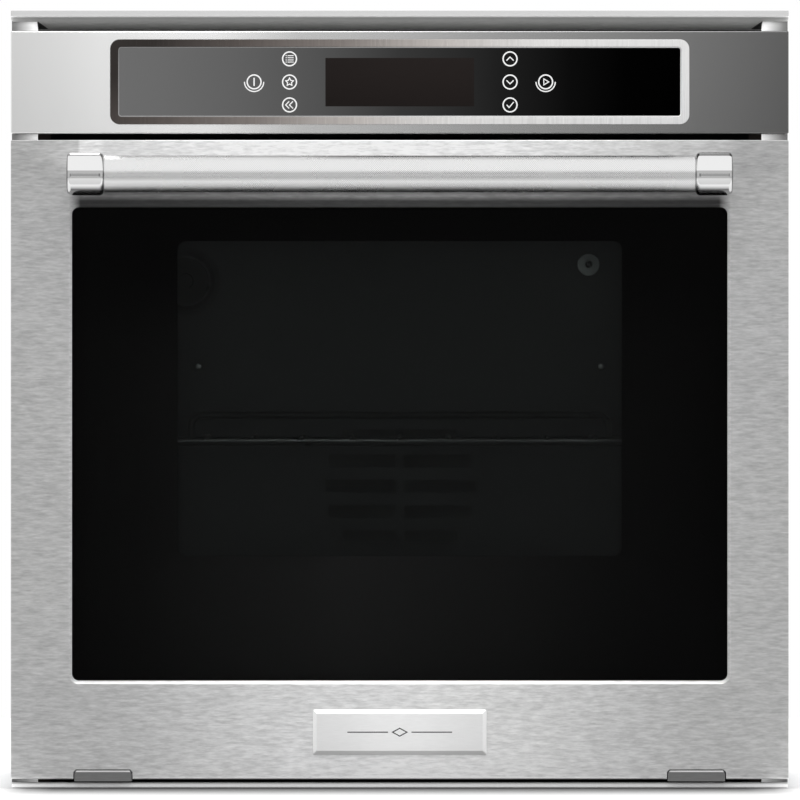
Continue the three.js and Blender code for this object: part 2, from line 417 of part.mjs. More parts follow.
// ------------------------------------------------------------------ door
{
  let skin = cut(box(-FACE_HALF_W, FACE_HALF_W, FACE_Y, -13, DOOR_Z0, DOOR_Z1), [
    box(-FACE_HALF_W + SHEET, FACE_HALF_W - SHEET, FACE_Y + SHEET, 5, DOOR_Z0 + SHEET, DOOR_Z1 - SHEET),
    box(-290, 290, -27, 5, 0, DOOR_Z0 + SHEET + 1),
    slab(-WINDOW_HALF_W, WINDOW_HALF_W, -60, -30, WINDOW_Z0, WINDOW_Z1, 5.5, 3),
  ]);
  for (const [, s] of SIDES) {
    const h = s * HINGE_X;
    skin = cut(skin, extrude(polygon([[h - 22.7, 0], [h + 22.7, 0], [h + 22.4, 12.8], [h + 20.6, 14.8], [h - 20.6, 14.8], [h - 22.4, 12.8]]), "y", -60, -20));
  }
  put(door, "door_skin", skin, "brushed");
  put(door, "outer_glass", slab(-262, 262, -43.5, -39.5, 71.5, 456, 8, 2), "blackGlass");

  // Inner liner of the door: an enamelled pan facing the cavity.
  let pan = cut(slab(-284, 284, -38.9, -10.3, 37.4, 489, 10, 3), [slab(-282.8, 282.8, -60, -11.5, 38.6, 487.8, 8.8, 3), slab(-176, 176, -20, 5, 172, 426, 14, 3), ...[-1, 1].map((s) => box(s * HINGE_X - 22.6, s * HINGE_X + 22.6, -60, -12.6, 30, 41))]);
  put(door, "door_liner", pan, "enamel");
  put(door, "window_shroud", cut(slab(-206, 206, -39.2, -16.3, 143, 455, 6, 2), [slab(-204.4, 204.4, -60, -23.4, 144.6, 453.4, 4.4, 2), slab(-190, 190, -60, 5, 158, 440, 6, 2)]), "enamel");
  put(door, "middle_glass", slab(-203.6, 203.6, -27.6, -23.7, 145.4, 452.6, 4, 2), "clearGlass");
  put(door, "inner_glass", slab(-188, 188, -15.9, -11.8, 160, 438, 8, 2), "clearGlass");

  const cap = (s) => {
    const p = [[225.3, 0], [225.3, 14.8], [229, CAP_R], [250.6, CAP_R], [252.8, 14.8], [254, 0]];
    const profile = s > 0 ? p : p.map(([a, r]) => [-a, r]).reverse();
    return join(lathe("x", profile, HANDLE_Y, HANDLE_Z, 24), slab(s > 0 ? 226 : -248.4, s > 0 ? 248.4 : -226, HANDLE_Y, FACE_Y - GAP, HANDLE_Z - 13.5, HANDLE_Z + 13.5, 5, 2));
  };
  put(door, "handle_post_left", cap(-1), "chrome");
  put(door, "handle_post_right", cap(1), "chrome");
  put(door, "handle_bar", rod("x", HANDLE_R, -225, 225, HANDLE_Y, HANDLE_Z, 32), "knurled");

  const plate = new THREE.ExtrudeGeometry(polygon([[-63.4, -14.2], [63.4, -14.2], [63.4, 14.2], [-63.4, 14.2]]), { depth: 1, bevelEnabled: true, bevelThickness: 1.7, bevelSize: 3, bevelSegments: 1 });
  plate.applyMatrix4(new THREE.Matrix4().makeBasis(new THREE.Vector3(1, 0, 0), new THREE.Vector3(0, 0, 1), new THREE.Vector3(0, -1, 0))).translate(0, FACE_Y - GAP, 43.6);
  put(door, "name_plate", cut(solid(plate), box(-80, 80, FACE_Y - GAP, -30, 20, 70)), "plate");
}

oven.position.set(0, -CENTRE_Y, 0);
export default oven;
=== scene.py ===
import bmesh
import bpy
import math
from mathutils import Vector, Matrix


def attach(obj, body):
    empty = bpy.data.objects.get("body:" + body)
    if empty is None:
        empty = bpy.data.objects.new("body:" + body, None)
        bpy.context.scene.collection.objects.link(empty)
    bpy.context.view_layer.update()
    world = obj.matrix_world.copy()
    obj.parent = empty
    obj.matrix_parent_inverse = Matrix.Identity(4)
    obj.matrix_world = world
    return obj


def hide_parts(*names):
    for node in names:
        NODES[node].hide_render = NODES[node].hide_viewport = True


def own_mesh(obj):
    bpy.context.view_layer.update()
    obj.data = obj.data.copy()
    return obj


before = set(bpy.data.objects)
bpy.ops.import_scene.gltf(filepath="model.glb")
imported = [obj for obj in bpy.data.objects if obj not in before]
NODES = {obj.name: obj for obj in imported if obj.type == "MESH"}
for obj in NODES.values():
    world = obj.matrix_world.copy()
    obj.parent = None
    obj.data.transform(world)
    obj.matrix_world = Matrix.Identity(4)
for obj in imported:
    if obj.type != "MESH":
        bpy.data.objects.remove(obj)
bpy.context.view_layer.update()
TAU = 2 * math.pi


def Y(mm):
    """Depth from the back of the mounting flange, in mm, to the row frame, in metres."""
    return (mm - 220.0) / 1000.0


# ---------------------------------------------------------------- mesh tools (inputs in mm, depth measured from the flange)
def make(name, verts, faces, body, slot=None, replaces=(), smooth=True, mat=None, sharp=None):
    me = bpy.data.meshes.new(name)
    me.from_pydata([(x / 1000.0, (y - 220.0) / 1000.0, z / 1000.0) for x, y, z in verts], [], faces)
    me.validate()
    bm = bmesh.new()
    bm.from_mesh(me)
    bmesh.ops.recalc_face_normals(bm, faces=bm.faces)
    bm.to_mesh(me)
    bm.free()
    me.update()
    if smooth:
        me.polygons.foreach_set("use_smooth", [True] * len(me.polygons))
    ob = bpy.data.objects.new(name, me)
    bpy.context.scene.collection.objects.link(ob)
    if sharp is not None:
        es = ob.modifiers.new("sharp", "EDGE_SPLIT")
        es.split_angle = math.radians(sharp)
    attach(ob, body)
    if replaces:
        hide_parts(*replaces)
    if mat:
        me.materials.append(mat)
    return ob


class Soup:
    """Collects several closed shells into one piece."""

    def __init__(self):
        self.v, self.f = [], []

    def add(self, verts, faces):
        b = len(self.v)
        self.v += verts
        self.f += [tuple(i + b for i in f) for f in faces]
        return self


def rr(u0, u1, v0, v1, r, n=6):
    """Outline of a rounded rectangle, anticlockwise."""
    r = max(r, 0.01)
    out = []
    for cu, cv, a0 in ((u1 - r, v0 + r, -90), (u1 - r, v1 - r, 0), (u0 + r, v1 - r, 90), (u0 + r, v0 + r, 180)):
        for k in range(n + 1):
            a = math.radians(a0 + 90 * k / n)
            out.append((cu + r * math.cos(a), cv + r * math.sin(a)))
    return out


def loft(loops, ring=False, cap=True):
    """Joins equal loops of points in order. ring closes the last loop on the first; cap closes both ends."""
    n = len(loops[0])
    verts = [p for l in loops for p in l]
    faces = []
    m = len(loops)
    for a in range(m if ring else m - 1):
        b = (a + 1) % m
        for i in range(n):
            j = (i + 1) % n
            faces.append((a * n + i, a * n + j, b * n + j, b * n + i))
    if cap and not ring:
        faces.append(tuple(reversed(range(n))))
        faces.append(tuple((m - 1) * n + i for i in range(n)))
    return verts, faces


def plate(u0, u1, v0, v1, r, y0, y1, b=0.3, n=6, seg=3):
    """A rounded plate in the X-Z plane, from depth y0 (front) to y1 (back), its front and back edges rounded by b."""
    loops = []
    for k in range(seg + 1):
        a = math.pi / 2 * k / seg
        d, y = b * (1 - math.sin(a)), y0 + b * (1 - math.cos(a))
        loops.append([(u, y, v) for u, v in rr(u0 + d, u1 - d, v0 + d, v1 - d, r - d, n)])
    for k in range(seg + 1):
        a = math.pi / 2 * k / seg
        d, y = b * (1 - math.cos(a)), y1 - b * (1 - math.sin(a))
        loops.append([(u, y, v) for u, v in rr(u0 + d, u1 - d, v0 + d, v1 - d, r - d, n)])
    return loft(loops)


def frame_plate(o, i, y0, y1, b=0.3, n=8, seg=3, bi=None):
    """A rounded plate with one rounded opening. o and i are (u0, u1, v0, v1, r)."""
    bi = b if bi is None else bi
    loops = []

    def out(d, y):
        loops.append([(u, y, v) for u, v in rr(o[0] + d, o[1] - d, o[2] + d, o[3] - d, o[4] - d, n)])

    def inn(d, y):
        loops.append([(u, y, v) for u, v in rr(i[0] - d, i[1] + d, i[2] - d, i[3] + d, i[4] + d, n)])

    for k in range(seg + 1):
        a = math.pi / 2 * k / seg
        out(b * (1 - math.cos(a)), y0 + b * (1 - math.sin(a)))
    for k in range(seg + 1):
        a = math.pi / 2 * k / seg
        inn(bi * (1 - math.sin(a)), y0 + bi * (1 - math.cos(a)))
    for k in range(seg + 1):
        a = math.pi / 2 * k / seg
        inn(bi * (1 - math.cos(a)), y1 - bi * (1 - math.sin(a)))
    for k in range(seg + 1):
        a = math.pi / 2 * k / seg
        out(b * (1 - math.sin(a)), y1 - b * (1 - math.cos(a)))
    return loft(loops, ring=True)


def lathe(axis, profile, c1, c2, n=64):
    """A solid of revolution. profile holds (along, radius), from the axis to the axis; c1, c2 centre it on the other axes."""
    verts, faces, rows = [], [], []
    for a, r in profile:
        if r < 1e-6:
            rows.append([len(verts)])
            ring = [(a, 0.0, 0.0)]
        else:
            rows.append(list(range(len(verts), len(verts) + n)))
            ring = [(a, r * math.cos(TAU * k / n), r * math.sin(TAU * k / n)) for k in range(n)]
        for t, p, q in ring:
            verts.append({"x": (t, c1 + p, c2 + q), "y": (c1 + p, t, c2 + q), "z": (c1 + p, c2 + q, t)}[axis])
    for a, b in zip(rows, rows[1:]):
        for k in range(n):
            j = (k + 1) % n
            if len(a) == 1 and len(b) == 1:
                continue
            if len(a) == 1:
                faces.append((a[0], b[j], b[k]))
            elif len(b) == 1:
                faces.append((a[k], a[j], b[0]))
            else:
                faces.append((a[k], a[j], b[j], b[k]))
    return verts, faces


def arc_pts(points, r, seg=6):
    """Rounds the corners of a polyline of (x, y, z)."""
    p = [Vector(q) for q in points]
    out = [p[0]]
    for i in range(1, len(p) - 1):
        d1, d2 = (p[i - 1] - p[i]).normalized(), (p[i + 1] - p[i]).normalized()
        ang = d1.angle(d2)
        if abs(math.pi - ang) < 0.02:
            continue
        reach = r / math.tan(ang / 2)
        c = p[i] + (d1 + d2).normalized() * (r / math.sin(ang / 2))
        a, b = p[i] + d1 * reach - c, p[i] + d2 * reach - c
        sweep = a.angle(b)
        for k in range(seg + 1):
            t = k / seg
            out.append(c + a * (math.sin((1 - t) * sweep) / math.sin(sweep)) + b * (math.sin(t * sweep) / math.sin(sweep)))
    out.append(p[-1])
    return out


def tube(points, r, sides=12, closed=False, dome=True, flat=None):
    """A round wire along points. flat=(axis index, factor) squeezes the section along one axis."""
    p = [Vector(q) for q in points]
    n = len(p)
    tan = []
    for i in range(n):
        a = p[(i - 1) % n] if closed or i else p[0]
        b = p[(i + 1) % n] if closed or i < n - 1 else p[-1]
        if closed:
            t = (p[i] - a).normalized() + (b - p[i]).normalized()
        else:
            t = b - a
        tan.append(t.normalized())
    ref = Vector((0, 0, 1)) if abs(tan[0].z) < 0.9 else Vector((1, 0, 0))
    u = (ref - tan[0] * ref.dot(tan[0])).normalized()
    verts, rows = [], []

    def ring(c, t, u, rad):
        w = t.cross(u)
        row = []
        for k in range(sides):
            a = TAU * k / sides
            q = u * (rad * math.cos(a)) + w * (rad * math.sin(a))
            if flat:
                q[flat[0]] *= flat[1]
            row.append(len(verts))
            verts.append(tuple(c + q))
        rows.append(row)

    us = []
    for i in range(n):
        u = (u - tan[i] * u.dot(tan[i])).normalized()
        us.append(u.copy())
    if closed:  # spread the twist left over at the join
        last = (us[-1] - tan[0] * us[-1].dot(tan[0])).normalized()
        twist = math.atan2(tan[0].dot(last.cross(us[0])), last.dot(us[0]))
        us = [Matrix.Rotation(twist * i / n, 3, tan[i]) @ us[i] for i in range(n)]
    if dome and not closed:
        for k in (0.35, 0.75):
            ring(p[0] - tan[0] * r * math.cos(k * math.pi / 2) * 0.5, tan[0], us[0], r * math.sin(k * math.pi / 2))
    for i in range(n):
        ring(p[i], tan[i], us[i], r)
    if dome and not closed:
        for k in (0.75, 0.35):
            ring(p[-1] + tan[-1] * r * math.cos(k * math.pi / 2) * 0.5, tan[-1], us[-1], r * math.sin(k * math.pi / 2))
    faces = []
    m = len(rows)
    for a in range(m if closed else m - 1):
        b = (a + 1) % m
        for k in range(sides):
            j = (k + 1) % sides
            faces.append((rows[a][k], rows[a][j], rows[b][j], rows[b][k]))
    if not closed:
        faces.append(tuple(reversed(rows[0])))
        faces.append(tuple(rows[-1]))
    return verts, faces


def block(x0, x1, y0, y1, z0, z1, b=0.3):
    """A box with chamfered edges, as one closed shell."""
    x0, x1 = min(x0, x1), max(x0, x1)
    loops = []
    for y, d in ((y0, b), (y0 + b, 0), (y1 - b, 0), (y1, b)):
        loops.append([(u, y, v) for u, v in rr(x0 + d, x1 - d, z0 + d, z1 - d, max(b - d, 0.02) if d else b, 1)])
    return loft(loops)


def screw(axis, sign, a, c1, c2, r=3.4, h=1.9, n=36):
    """A pan-head screw with a six-lobed recess. Its head stands on the plane at a, towards sign along axis."""
    rows = []

    def row(hh, rad, lobed=False):
        pts = []
        for k in range(n):
            t = TAU * k / n
            q = rad * (1 + 0.16 * math.cos(6 * t)) if lobed else rad
            pts.append((a + sign * hh, q * math.cos(t), q * math.sin(t)))
        rows.append(pts)

    row(0, r)
    for k in range(7):
        t = math.pi / 2 * k / 6
        row(0.25 * h + 0.75 * h * math.sin(t), r * (0.52 + 0.48 * math.cos(t)))
    row(h, r * 0.42, True)
    row(h - 0.1, r * 0.40, True)
    row(h * 0.3, r * 0.38, True)
    out = []
    for pts in rows:
        out.append([{"x": (t, c1 + p, c2 + q), "y": (c1 + p, t, c2 + q), "z": (c1 + p, c2 + q, t)}[axis] for t, p, q in pts])
    v, f = loft(out)
    return v, f


# ---------------------------------------------------------------- materials
class M:
    """A node material on one Principled shader."""

    def __init__(self, name, color=(0.5, 0.5, 0.5), rough=0.4, metal=0.0, **kw):
        self.m = bpy.data.materials.new(name)
        self.m.use_nodes = True
        self.t = self.m.node_tree
        self.b = self.t.nodes["Principled BSDF"]
        self.set("Base Color", (*color, 1))
        self.set("Roughness", rough)
        self.set("Metallic", metal)
        for k, v in kw.items():
            self.set(k.replace("_", " "), v)
        self.co = None

    def set(self, socket, value):
        self.b.inputs[socket].default_value = value

    def node(self, kind, **kw):
        n = self.t.nodes.new(kind)
        for k, v in kw.items():
            if k.startswith("i_"):
                n.inputs[k[2:].replace("_", " ")].default_value = v
            else:
                setattr(n, k, v)
        return n

    def link(self, a, b):
        self.t.links.new(a, b)

    def coords(self, scale=(1, 1, 1), rot=(0, 0, 0), loc=(0, 0, 0)):
        if self.co is None:
            self.co = self.node("ShaderNodeTexCoord")
        mp = self.node("ShaderNodeMapping")
        mp.inputs["Scale"].default_value = scale
        mp.inputs["Rotation"].default_value = rot
        mp.inputs["Location"].default_value = loc
        self.link(self.co.outputs["Object"], mp.inputs["Vector"])
        return mp.outputs["Vector"]

    def noise(self, scale, vec_scale=(1, 1, 1), detail=3.0, rough=0.5, rot=(0, 0, 0)):
        n = self.node("ShaderNodeTexNoise")
        n.inputs["Scale"].default_value = scale
        n.inputs["Detail"].default_value = detail
        n.inputs["Roughness"].default_value = rough
        self.link(self.coords(vec_scale, rot), n.inputs["Vector"])
        return n.outputs["Fac"]

    def ramp(self, fac, stops, interp="LINEAR"):
        r = self.node("ShaderNodeValToRGB")
        r.color_ramp.interpolation = interp
        e = r.color_ramp.elements
        while len(e) > 1:
            e.remove(e[-1])
        for i, (pos, c) in enumerate(stops):
            c = (c, c, c) if isinstance(c, (int, float)) else c
            if i == 0:
                e[0].position = pos
                el = e[0]
            else:
                el = e.new(pos)
            el.color = (*c, 1)
        self.link(fac, r.inputs["Fac"])
        return r.outputs["Color"]

    def remap(self, fac, a, b, lo=0.0, hi=1.0):
        r = self.node("ShaderNodeMapRange")
        r.inputs["From Min"].default_value = lo
        r.inputs["From Max"].default_value = hi
        r.inputs["To Min"].default_value = a
        r.inputs["To Max"].default_value = b
        self.link(fac, r.inputs["Value"])
        return r.outputs["Result"]

    def mul(self, c1, c2, fac=1.0, mode="MULTIPLY"):
        mx = self.node("ShaderNodeMix", data_type="RGBA", blend_type=mode)
        mx.inputs[0].default_value = fac
        for socket, c in ((mx.inputs[6], c1), (mx.inputs[7], c2)):
            if isinstance(c, tuple):
                socket.default_value = (*c, 1)
            else:
                self.link(c, socket)
        return mx.outputs[2]

    def math(self, op, a, b=None):
        n = self.node("ShaderNodeMath", operation=op)
        for i, v in enumerate((a, b)):
            if v is None:
                continue
            if isinstance(v, (int, float)):
                n.inputs[i].default_value = v
            else:
                self.link(v, n.inputs[i])
        return n.outputs[0]

    def sep(self):
        s = self.node("ShaderNodeSeparateXYZ")
        self.link(self.coords(), s.inputs[0])
        return s.outputs

    def color(self, c):
        self.link(c, self.b.inputs["Base Color"])

    def rough(self, r):
        self.link(r, self.b.inputs["Roughness"])

    def bump(self, h, strength=0.2, dist=0.0005, prev=None):
        b = self.node("ShaderNodeBump")
        b.inputs["Strength"].default_value = strength
        b.inputs["Distance"].default_value = dist
        self.link(h, b.inputs["Height"])
        if prev is not None:
            self.link(prev, b.inputs["Normal"])
        self.link(b.outputs["Normal"], self.b.inputs["Normal"])
        return b.outputs["Normal"]


def brushed(name, tone, rough, grain=(110, 1200, 1200), contrast=0.05, bump=0.10):
    """Brushed steel: short strokes across X, a slow cloudiness under them, and finer scratches in the gloss."""
    m = M(name, (tone, tone, tone), rough, 1.0)
    g = m.noise(1.0, grain, 4.0, 0.6)
    g2 = m.noise(1.0, (grain[0] * 3.2, grain[1] * 2.1, grain[2] * 2.1), 2.0, 0.6)
    cloud = m.noise(5.0, (1, 1, 1), 2.0)
    a = m.ramp(g, [(0.25, tone * (1 - contrast)), (0.75, tone * (1 + contrast))])
    b = m.ramp(cloud, [(0.3, (0.975, 0.975, 0.98)), (0.7, (1.0, 1.0, 0.995))])
    m.color(m.mul(a, b))
    m.rough(m.math("ADD", m.remap(g, rough - 0.05, rough + 0.05, 0.25, 0.75), m.remap(g2, -0.02, 0.02, 0.3, 0.7)))
    m.bump(m.math("ADD", g, g2), bump, 0.00012)
    return m.m


MAT = {}


def door_steel():
    """Brushed sheet of the door: short horizontal strokes, with painted light: a painted sheen brightest in the middle
    and darker towards the sides, a painted highlight along the bottom fold, a painted shadow of the grip below it and a
    painted reflection of the grip above it.
    """
    m = M("door_steel", (0.6, 0.6, 0.6), 0.40, 0.85)
    g = m.noise(1.0, (110, 1200, 1200), 4.0, 0.6)
    g2 = m.noise(1.0, (330, 2500, 2500), 2.0, 0.6)
    g3 = m.noise(1.0, (105, 560, 560), 3.0, 0.6)
    cloud = m.noise(5.0, (1, 1, 1), 2.0)
    x, y, z = m.sep()[:3]
    ax = m.math("ABSOLUTE", x)
    # painted sheen across the door: brightest in the middle, darker towards the sides
    side = m.ramp(m.remap(ax, 0.0, 1.0, 0.0, 0.30), [(p, c) for p, c in DOOR_PAINTED_SHEEN_ACROSS], "B_SPLINE")
    # painted light up the door: a painted highlight on the bottom fold, a little brighter low down and at the top
    painted_light_up = m.ramp(m.remap(z, 0.0, 1.0, 0.0, 0.5), [(p, c) for p, c in DOOR_PAINTED_LIGHT_UP])
    # painted shadow of the grip on the door below it; the mask keeps it within the grip's span
    shade_z = m.ramp(m.remap(z, 0.0, 1.0, 0.400, 0.4640), [(p, c) for p, c in DOOR_SHADE])
    inside = m.remap(ax, 0.0, 1.0, 0.2530, 0.2440)
    shade = m.node("ShaderNodeMix", data_type="RGBA")
    m.link(inside, shade.inputs[0])
    shade.inputs[6].default_value = (1, 1, 1, 1)
    m.link(shade_z, shade.inputs[7])
    a = m.ramp(g, [(0.25, 0.90), (0.75, 1.10)])
    a3 = m.ramp(g3, [(0.3, 0.83), (0.7, 1.17)])
    b = m.ramp(cloud, [(0.3, (0.975, 0.975, 0.98)), (0.7, (1.0, 1.0, 0.995))])
    tone = m.mul(m.mul(m.mul(side, painted_light_up), shade.outputs[2]), m.mul(m.mul(a, a3), b))
    # painted reflection of the grip and its posts: a brighter band just above the bar
    painted_reflection_over = m.node("ShaderNodeMix", data_type="RGBA")
    m.link(m.remap(z, 0.0, 1.0, 0.466, 0.476), painted_reflection_over.inputs[0])
    painted_reflection_over.inputs[6].default_value = (1, 1, 1, 1)
    m.link(m.ramp(m.remap(x, 0.0, 1.0, -0.2975, 0.2975), DOOR_PAINTED_REFLECTION_OVER), painted_reflection_over.inputs[7])
    tone = m.mul(tone, painted_reflection_over.outputs[2])
    m.color(tone)
    m.rough(m.math("ADD", m.remap(g, 0.35, 0.45, 0.25, 0.75), m.remap(g2, -0.02, 0.02, 0.3, 0.7)))
    m.bump(m.math("ADD", g, g2), 0.10, 0.00012)
    return m.m


# painted light tables: sheen across the door, light up it, the grip's shadow below it, its reflection above it
DOOR_PAINTED_SHEEN_ACROSS = [(0.0, 0.84), (0.25, 0.78), (0.5, 0.645), (0.75, 0.495), (1.0, 0.475)]
DOOR_PAINTED_LIGHT_UP = [(0.0, 1.9), (0.0168, 1.9), (0.0176, 1.2), (0.04, 1.13), (0.08, 1.03), (0.12, 0.98), (0.3, 0.99), (0.6, 1.0), (0.9, 0.97), (0.955, 0.97), (0.985, 1.05), (1.0, 1.08)]
DOOR_SHADE = [(0.0, 1.0), (0.1, 1.0), (0.2, 0.05), (0.70, 0.05), (0.775, 0.08), (0.835, 0.40), (0.88, 0.26), (0.925, 0.40), (0.97, 0.9), (1.0, 1.0)]
DOOR_PAINTED_REFLECTION_OVER = [((px - 12) / 776, c) for px, c in ((12, 0.88), (40, 0.95), (60, 1.12), (79, 1.15), (81, 1.65), (102, 1.60), (105, 1.40), (200, 1.41), (400, 1.13), (600, 1.16), (700, 1.18), (722, 1.05), (738, 0.87), (788, 0.91))]
MAT["door_steel"] = door_steel()


def fascia_steel():
    m = M("fascia_steel", (0.62, 0.62, 0.615), 0.26, 1.0)
    g = m.noise(1.0, (900, 900, 40), 3.0, 0.5)
    soft = m.noise(3.0, (1, 1, 0.2), 1.0)
    x, y = m.sep()[:2]
    front = m.math("LESS_THAN", y, Y(-43.6))
    face = m.node("ShaderNodeMix", data_type="RGBA")
    m.link(front, face.inputs[0])
    face.inputs[6].default_value = (0.80, 0.80, 0.79, 1)
    # painted sheen on the front face: brightest a little in from the left, darkening steadily to the right
    m.link(m.ramp(m.remap(x, 0.0, 1.0, -0.2975, 0.2975), FASCIA_PAINTED_SHEEN), face.inputs[7])
    sweep = face.outputs[2]
    m.color(m.mul(m.mul(m.ramp(g, [(0.3, (0.992, 0.992, 0.987)), (0.7, (1.0, 1.0, 0.995))]), sweep), m.ramp(soft, [(0.3, 0.985), (0.7, 1.0)])))
    m.rough(m.remap(g, 0.25, 0.27, 0.3, 0.7))
    m.bump(g, 0.008, 0.0001)
    return m.m


# painted sheen across the fascia, left to right
FASCIA_PAINTED_SHEEN = [((px - 10.5) / 778.5, c) for px, c in ((11, 0.76), (60, 0.84), (100, 0.93), (165, 1.0), (215, 0.98), (300, 0.63), (400, 0.52), (500, 0.385), (600, 0.285), (700, 0.195), (789, 0.135))]
MAT["fascia_steel"] = fascia_steel()


def trim_steel(name, tone, rough, metal, painted_light_ramp_z=None):
    m = M(name, (tone, tone, tone), rough, metal)
    g = m.noise(1.0, (110, 1200, 1200), 3.0, 0.6)
    a = m.ramp(g, [(0.25, tone * 0.98), (0.75, tone * 1.02)])
    # painted_light_ramp_z paints light and shade up the height of the part
    if painted_light_ramp_z:
        z = m.sep()[2]
        a = m.mul(a, m.ramp(m.remap(z, 0.0, 1.0, painted_light_ramp_z[0], painted_light_ramp_z[1]), painted_light_ramp_z[2]))
    m.color(a)
    m.rough(m.remap(g, rough - 0.03, rough + 0.03, 0.25, 0.75))
    m.bump(g, 0.04, 0.00012)
    return m.m


MAT["trim_steel"] = trim_steel("trim_steel", 0.62, 0.28, 1.0)
# painted shade darkening the slope towards the top of the recess, and a painted highlight along the fold above it
MAT["top_trim_steel"] = trim_steel("top_trim_steel", 0.92, 0.34, 0.2, (0.580, 0.596, [(0.0, 0.90), (0.19, 0.90), (0.40, 0.89), (0.53, 0.62), (0.61, 0.46), (0.63, 1.08), (0.67, 1.08), (0.69, 0.49), (1.0, 0.49)]))
# painted light and shade up the bottom lip: lighter low down, darker towards the top
MAT["lip_steel"] = trim_steel("lip_steel", 0.95, 0.34, 0.0, (0.0005, 0.0046, [(0.0, 1.0), (0.08, 0.95), (0.18, 0.88), (0.36, 1.0), (0.55, 0.98), (0.70, 0.66), (0.9, 0.46), (1.0, 0.44)]))


def bezel_steel():
    """Bright-polished ring with diagonal polishing strokes, under a painted reflection that runs dark and brown at the
    left to bright at the right.
    """
    m = M("bezel_steel", (0.5, 0.5, 0.49), 0.2, 0.15)
    x, y, z = m.sep()[:3]
    t = m.math("SUBTRACT", m.remap(x, 0.0, 1.0, -0.222, 0.222), m.math("MULTIPLY", m.math("SUBTRACT", z, 0.5405), 2.6))
    # painted reflection: dark and brown at the left, bright at the right, along a slant
    base = m.ramp(t, [(0.0, (0.026, 0.022, 0.020)), (0.16, (0.088, 0.075, 0.069)), (0.33, (0.20, 0.178, 0.166)), (0.5, (0.47, 0.44, 0.42)), (0.67, (0.69, 0.68, 0.67)), (1.0, (0.68, 0.68, 0.68))])
    s = m.noise(1.0, (520, 520, 24), 2.0, 0.5, rot=(0, math.radians(-35), 0))
    st = m.ramp(s, [(0.35, 0.90), (0.52, 1.0), (0.68, 0.93)])
    m.color(m.mul(base, st))
    m.rough(m.remap(s, 0.16, 0.30, 0.3, 0.7))
    m.bump(s, 0.05, 0.0001)
    m.set("Specular IOR Level", 0.15)
    return m.m


MAT["bezel_steel"] = bezel_steel()


def bead():
    """Bright bead round the glass, standing in for the highlight on the glass's ground edge, painted brighter towards
    the right and lower down.
    """
    m = M("bead_steel", (0.4, 0.4, 0.39), 0.35, 0.1)
    m.set("Specular IOR Level", 0.2)
    x, z = m.sep()[0], m.sep()[2]
    s = m.noise(300, (1, 1, 1), 2.0)
    # painted highlight: brighter low down and towards the right
    low = m.ramp(m.remap(z, 0.0, 1.0, 0.514, 0.567), [(0.0, 1.0), (0.9, 0.62), (1.0, 0.55)])
    m.color(m.mul(m.mul(m.ramp(m.remap(x, 0.0, 1.0, -0.215, 0.215), [(0.0, 0.36), (0.3, 0.42), (0.6, 0.75), (1.0, 0.9)]), low), m.ramp(s, [(0.3, 0.94), (0.7, 1.0)])))
    m.rough(m.remap(s, 0.3, 0.4, 0.3, 0.7))
    return m.m


MAT["bead"] = bead()


def knurl():
    """Knurled steel: the tips of the diamonds are lighter than the cuts between them, under painted bands of reflection
    and shade along the bar.
    """
    m = M("knurled_steel", (0.66, 0.66, 0.655), 0.30, 1.0)
    x, y, z = m.sep()[:3]
    ang = m.math("ARCTAN2", m.math("SUBTRACT", z, GRIP_Z / 1000), m.math("SUBTRACT", y, Y(GRIP_Y)))
    arc = m.math("MULTIPLY", ang, KNURL_N / 2.0)
    ln = m.math("MULTIPLY", m.math("ADD", x, KNURL_X / 1000), 1000.0 * TAU / (2 * KNURL_STEP))
    h = m.math("MINIMUM", m.math("COSINE", m.math("ADD", ln, arc)), m.math("COSINE", m.math("SUBTRACT", ln, arc)))
    h01 = m.remap(h, 1.0, 0.0, -1.0, 1.0)
    wear = m.noise(30, (1, 1, 1), 3.0)
    up = m.remap(z, 0.0, 1.0, (GRIP_Z - 14.0) / 1000, (GRIP_Z + 14.0) / 1000)
    # painted reflection and shade: a dark band just below the middle of the bar, bright above it, darker at the top and
    # bottom edges
    painted_reflection_bands = m.ramp(up, [(0.0, 0.85), (0.17, 0.80), (0.29, 0.86), (0.36, 0.74), (0.42, 0.72), (0.50, 0.70), (0.54, 0.86), (0.58, 1.0), (0.92, 1.0), (1.0, 0.8)])
    m.color(m.mul(m.mul(m.ramp(h01, [(0.0, 0.56), (0.45, 0.75), (1.0, 0.90)]), painted_reflection_bands), m.ramp(wear, [(0.3, 0.97), (0.7, 1.0)])))
    m.rough(m.remap(wear, 0.24, 0.30, 0.3, 0.7))
    return m.m


GRIP_Y, GRIP_Z = -92.6, 469.5
KNURL_N = 112  # half pitches round the bar
KNURL_X, KNURL_ROWS = 224.4, 571
KNURL_STEP = 2 * KNURL_X / KNURL_ROWS
MAT["knurled"] = knurl()


def chrome(name="polished_chrome", tone=0.86, rough=0.045):
    m = M(name, (tone, tone, tone), rough, 1.0)
    s = m.noise(1.0, (60, 900, 900), 3.0, 0.6)
    w = m.noise(22, (1, 1, 1), 4.0, 0.6)
    m.color(m.ramp(w, [(0.3, tone * 0.97), (0.7, tone)]))
    m.rough(m.math("ADD", m.remap(w, rough * 0.7, rough * 1.6, 0.3, 0.75), m.remap(s, 0.0, 0.02, 0.5, 0.8)))
    m.bump(s, 0.01, 0.00005)
    return m.m


MAT["chrome"] = chrome()


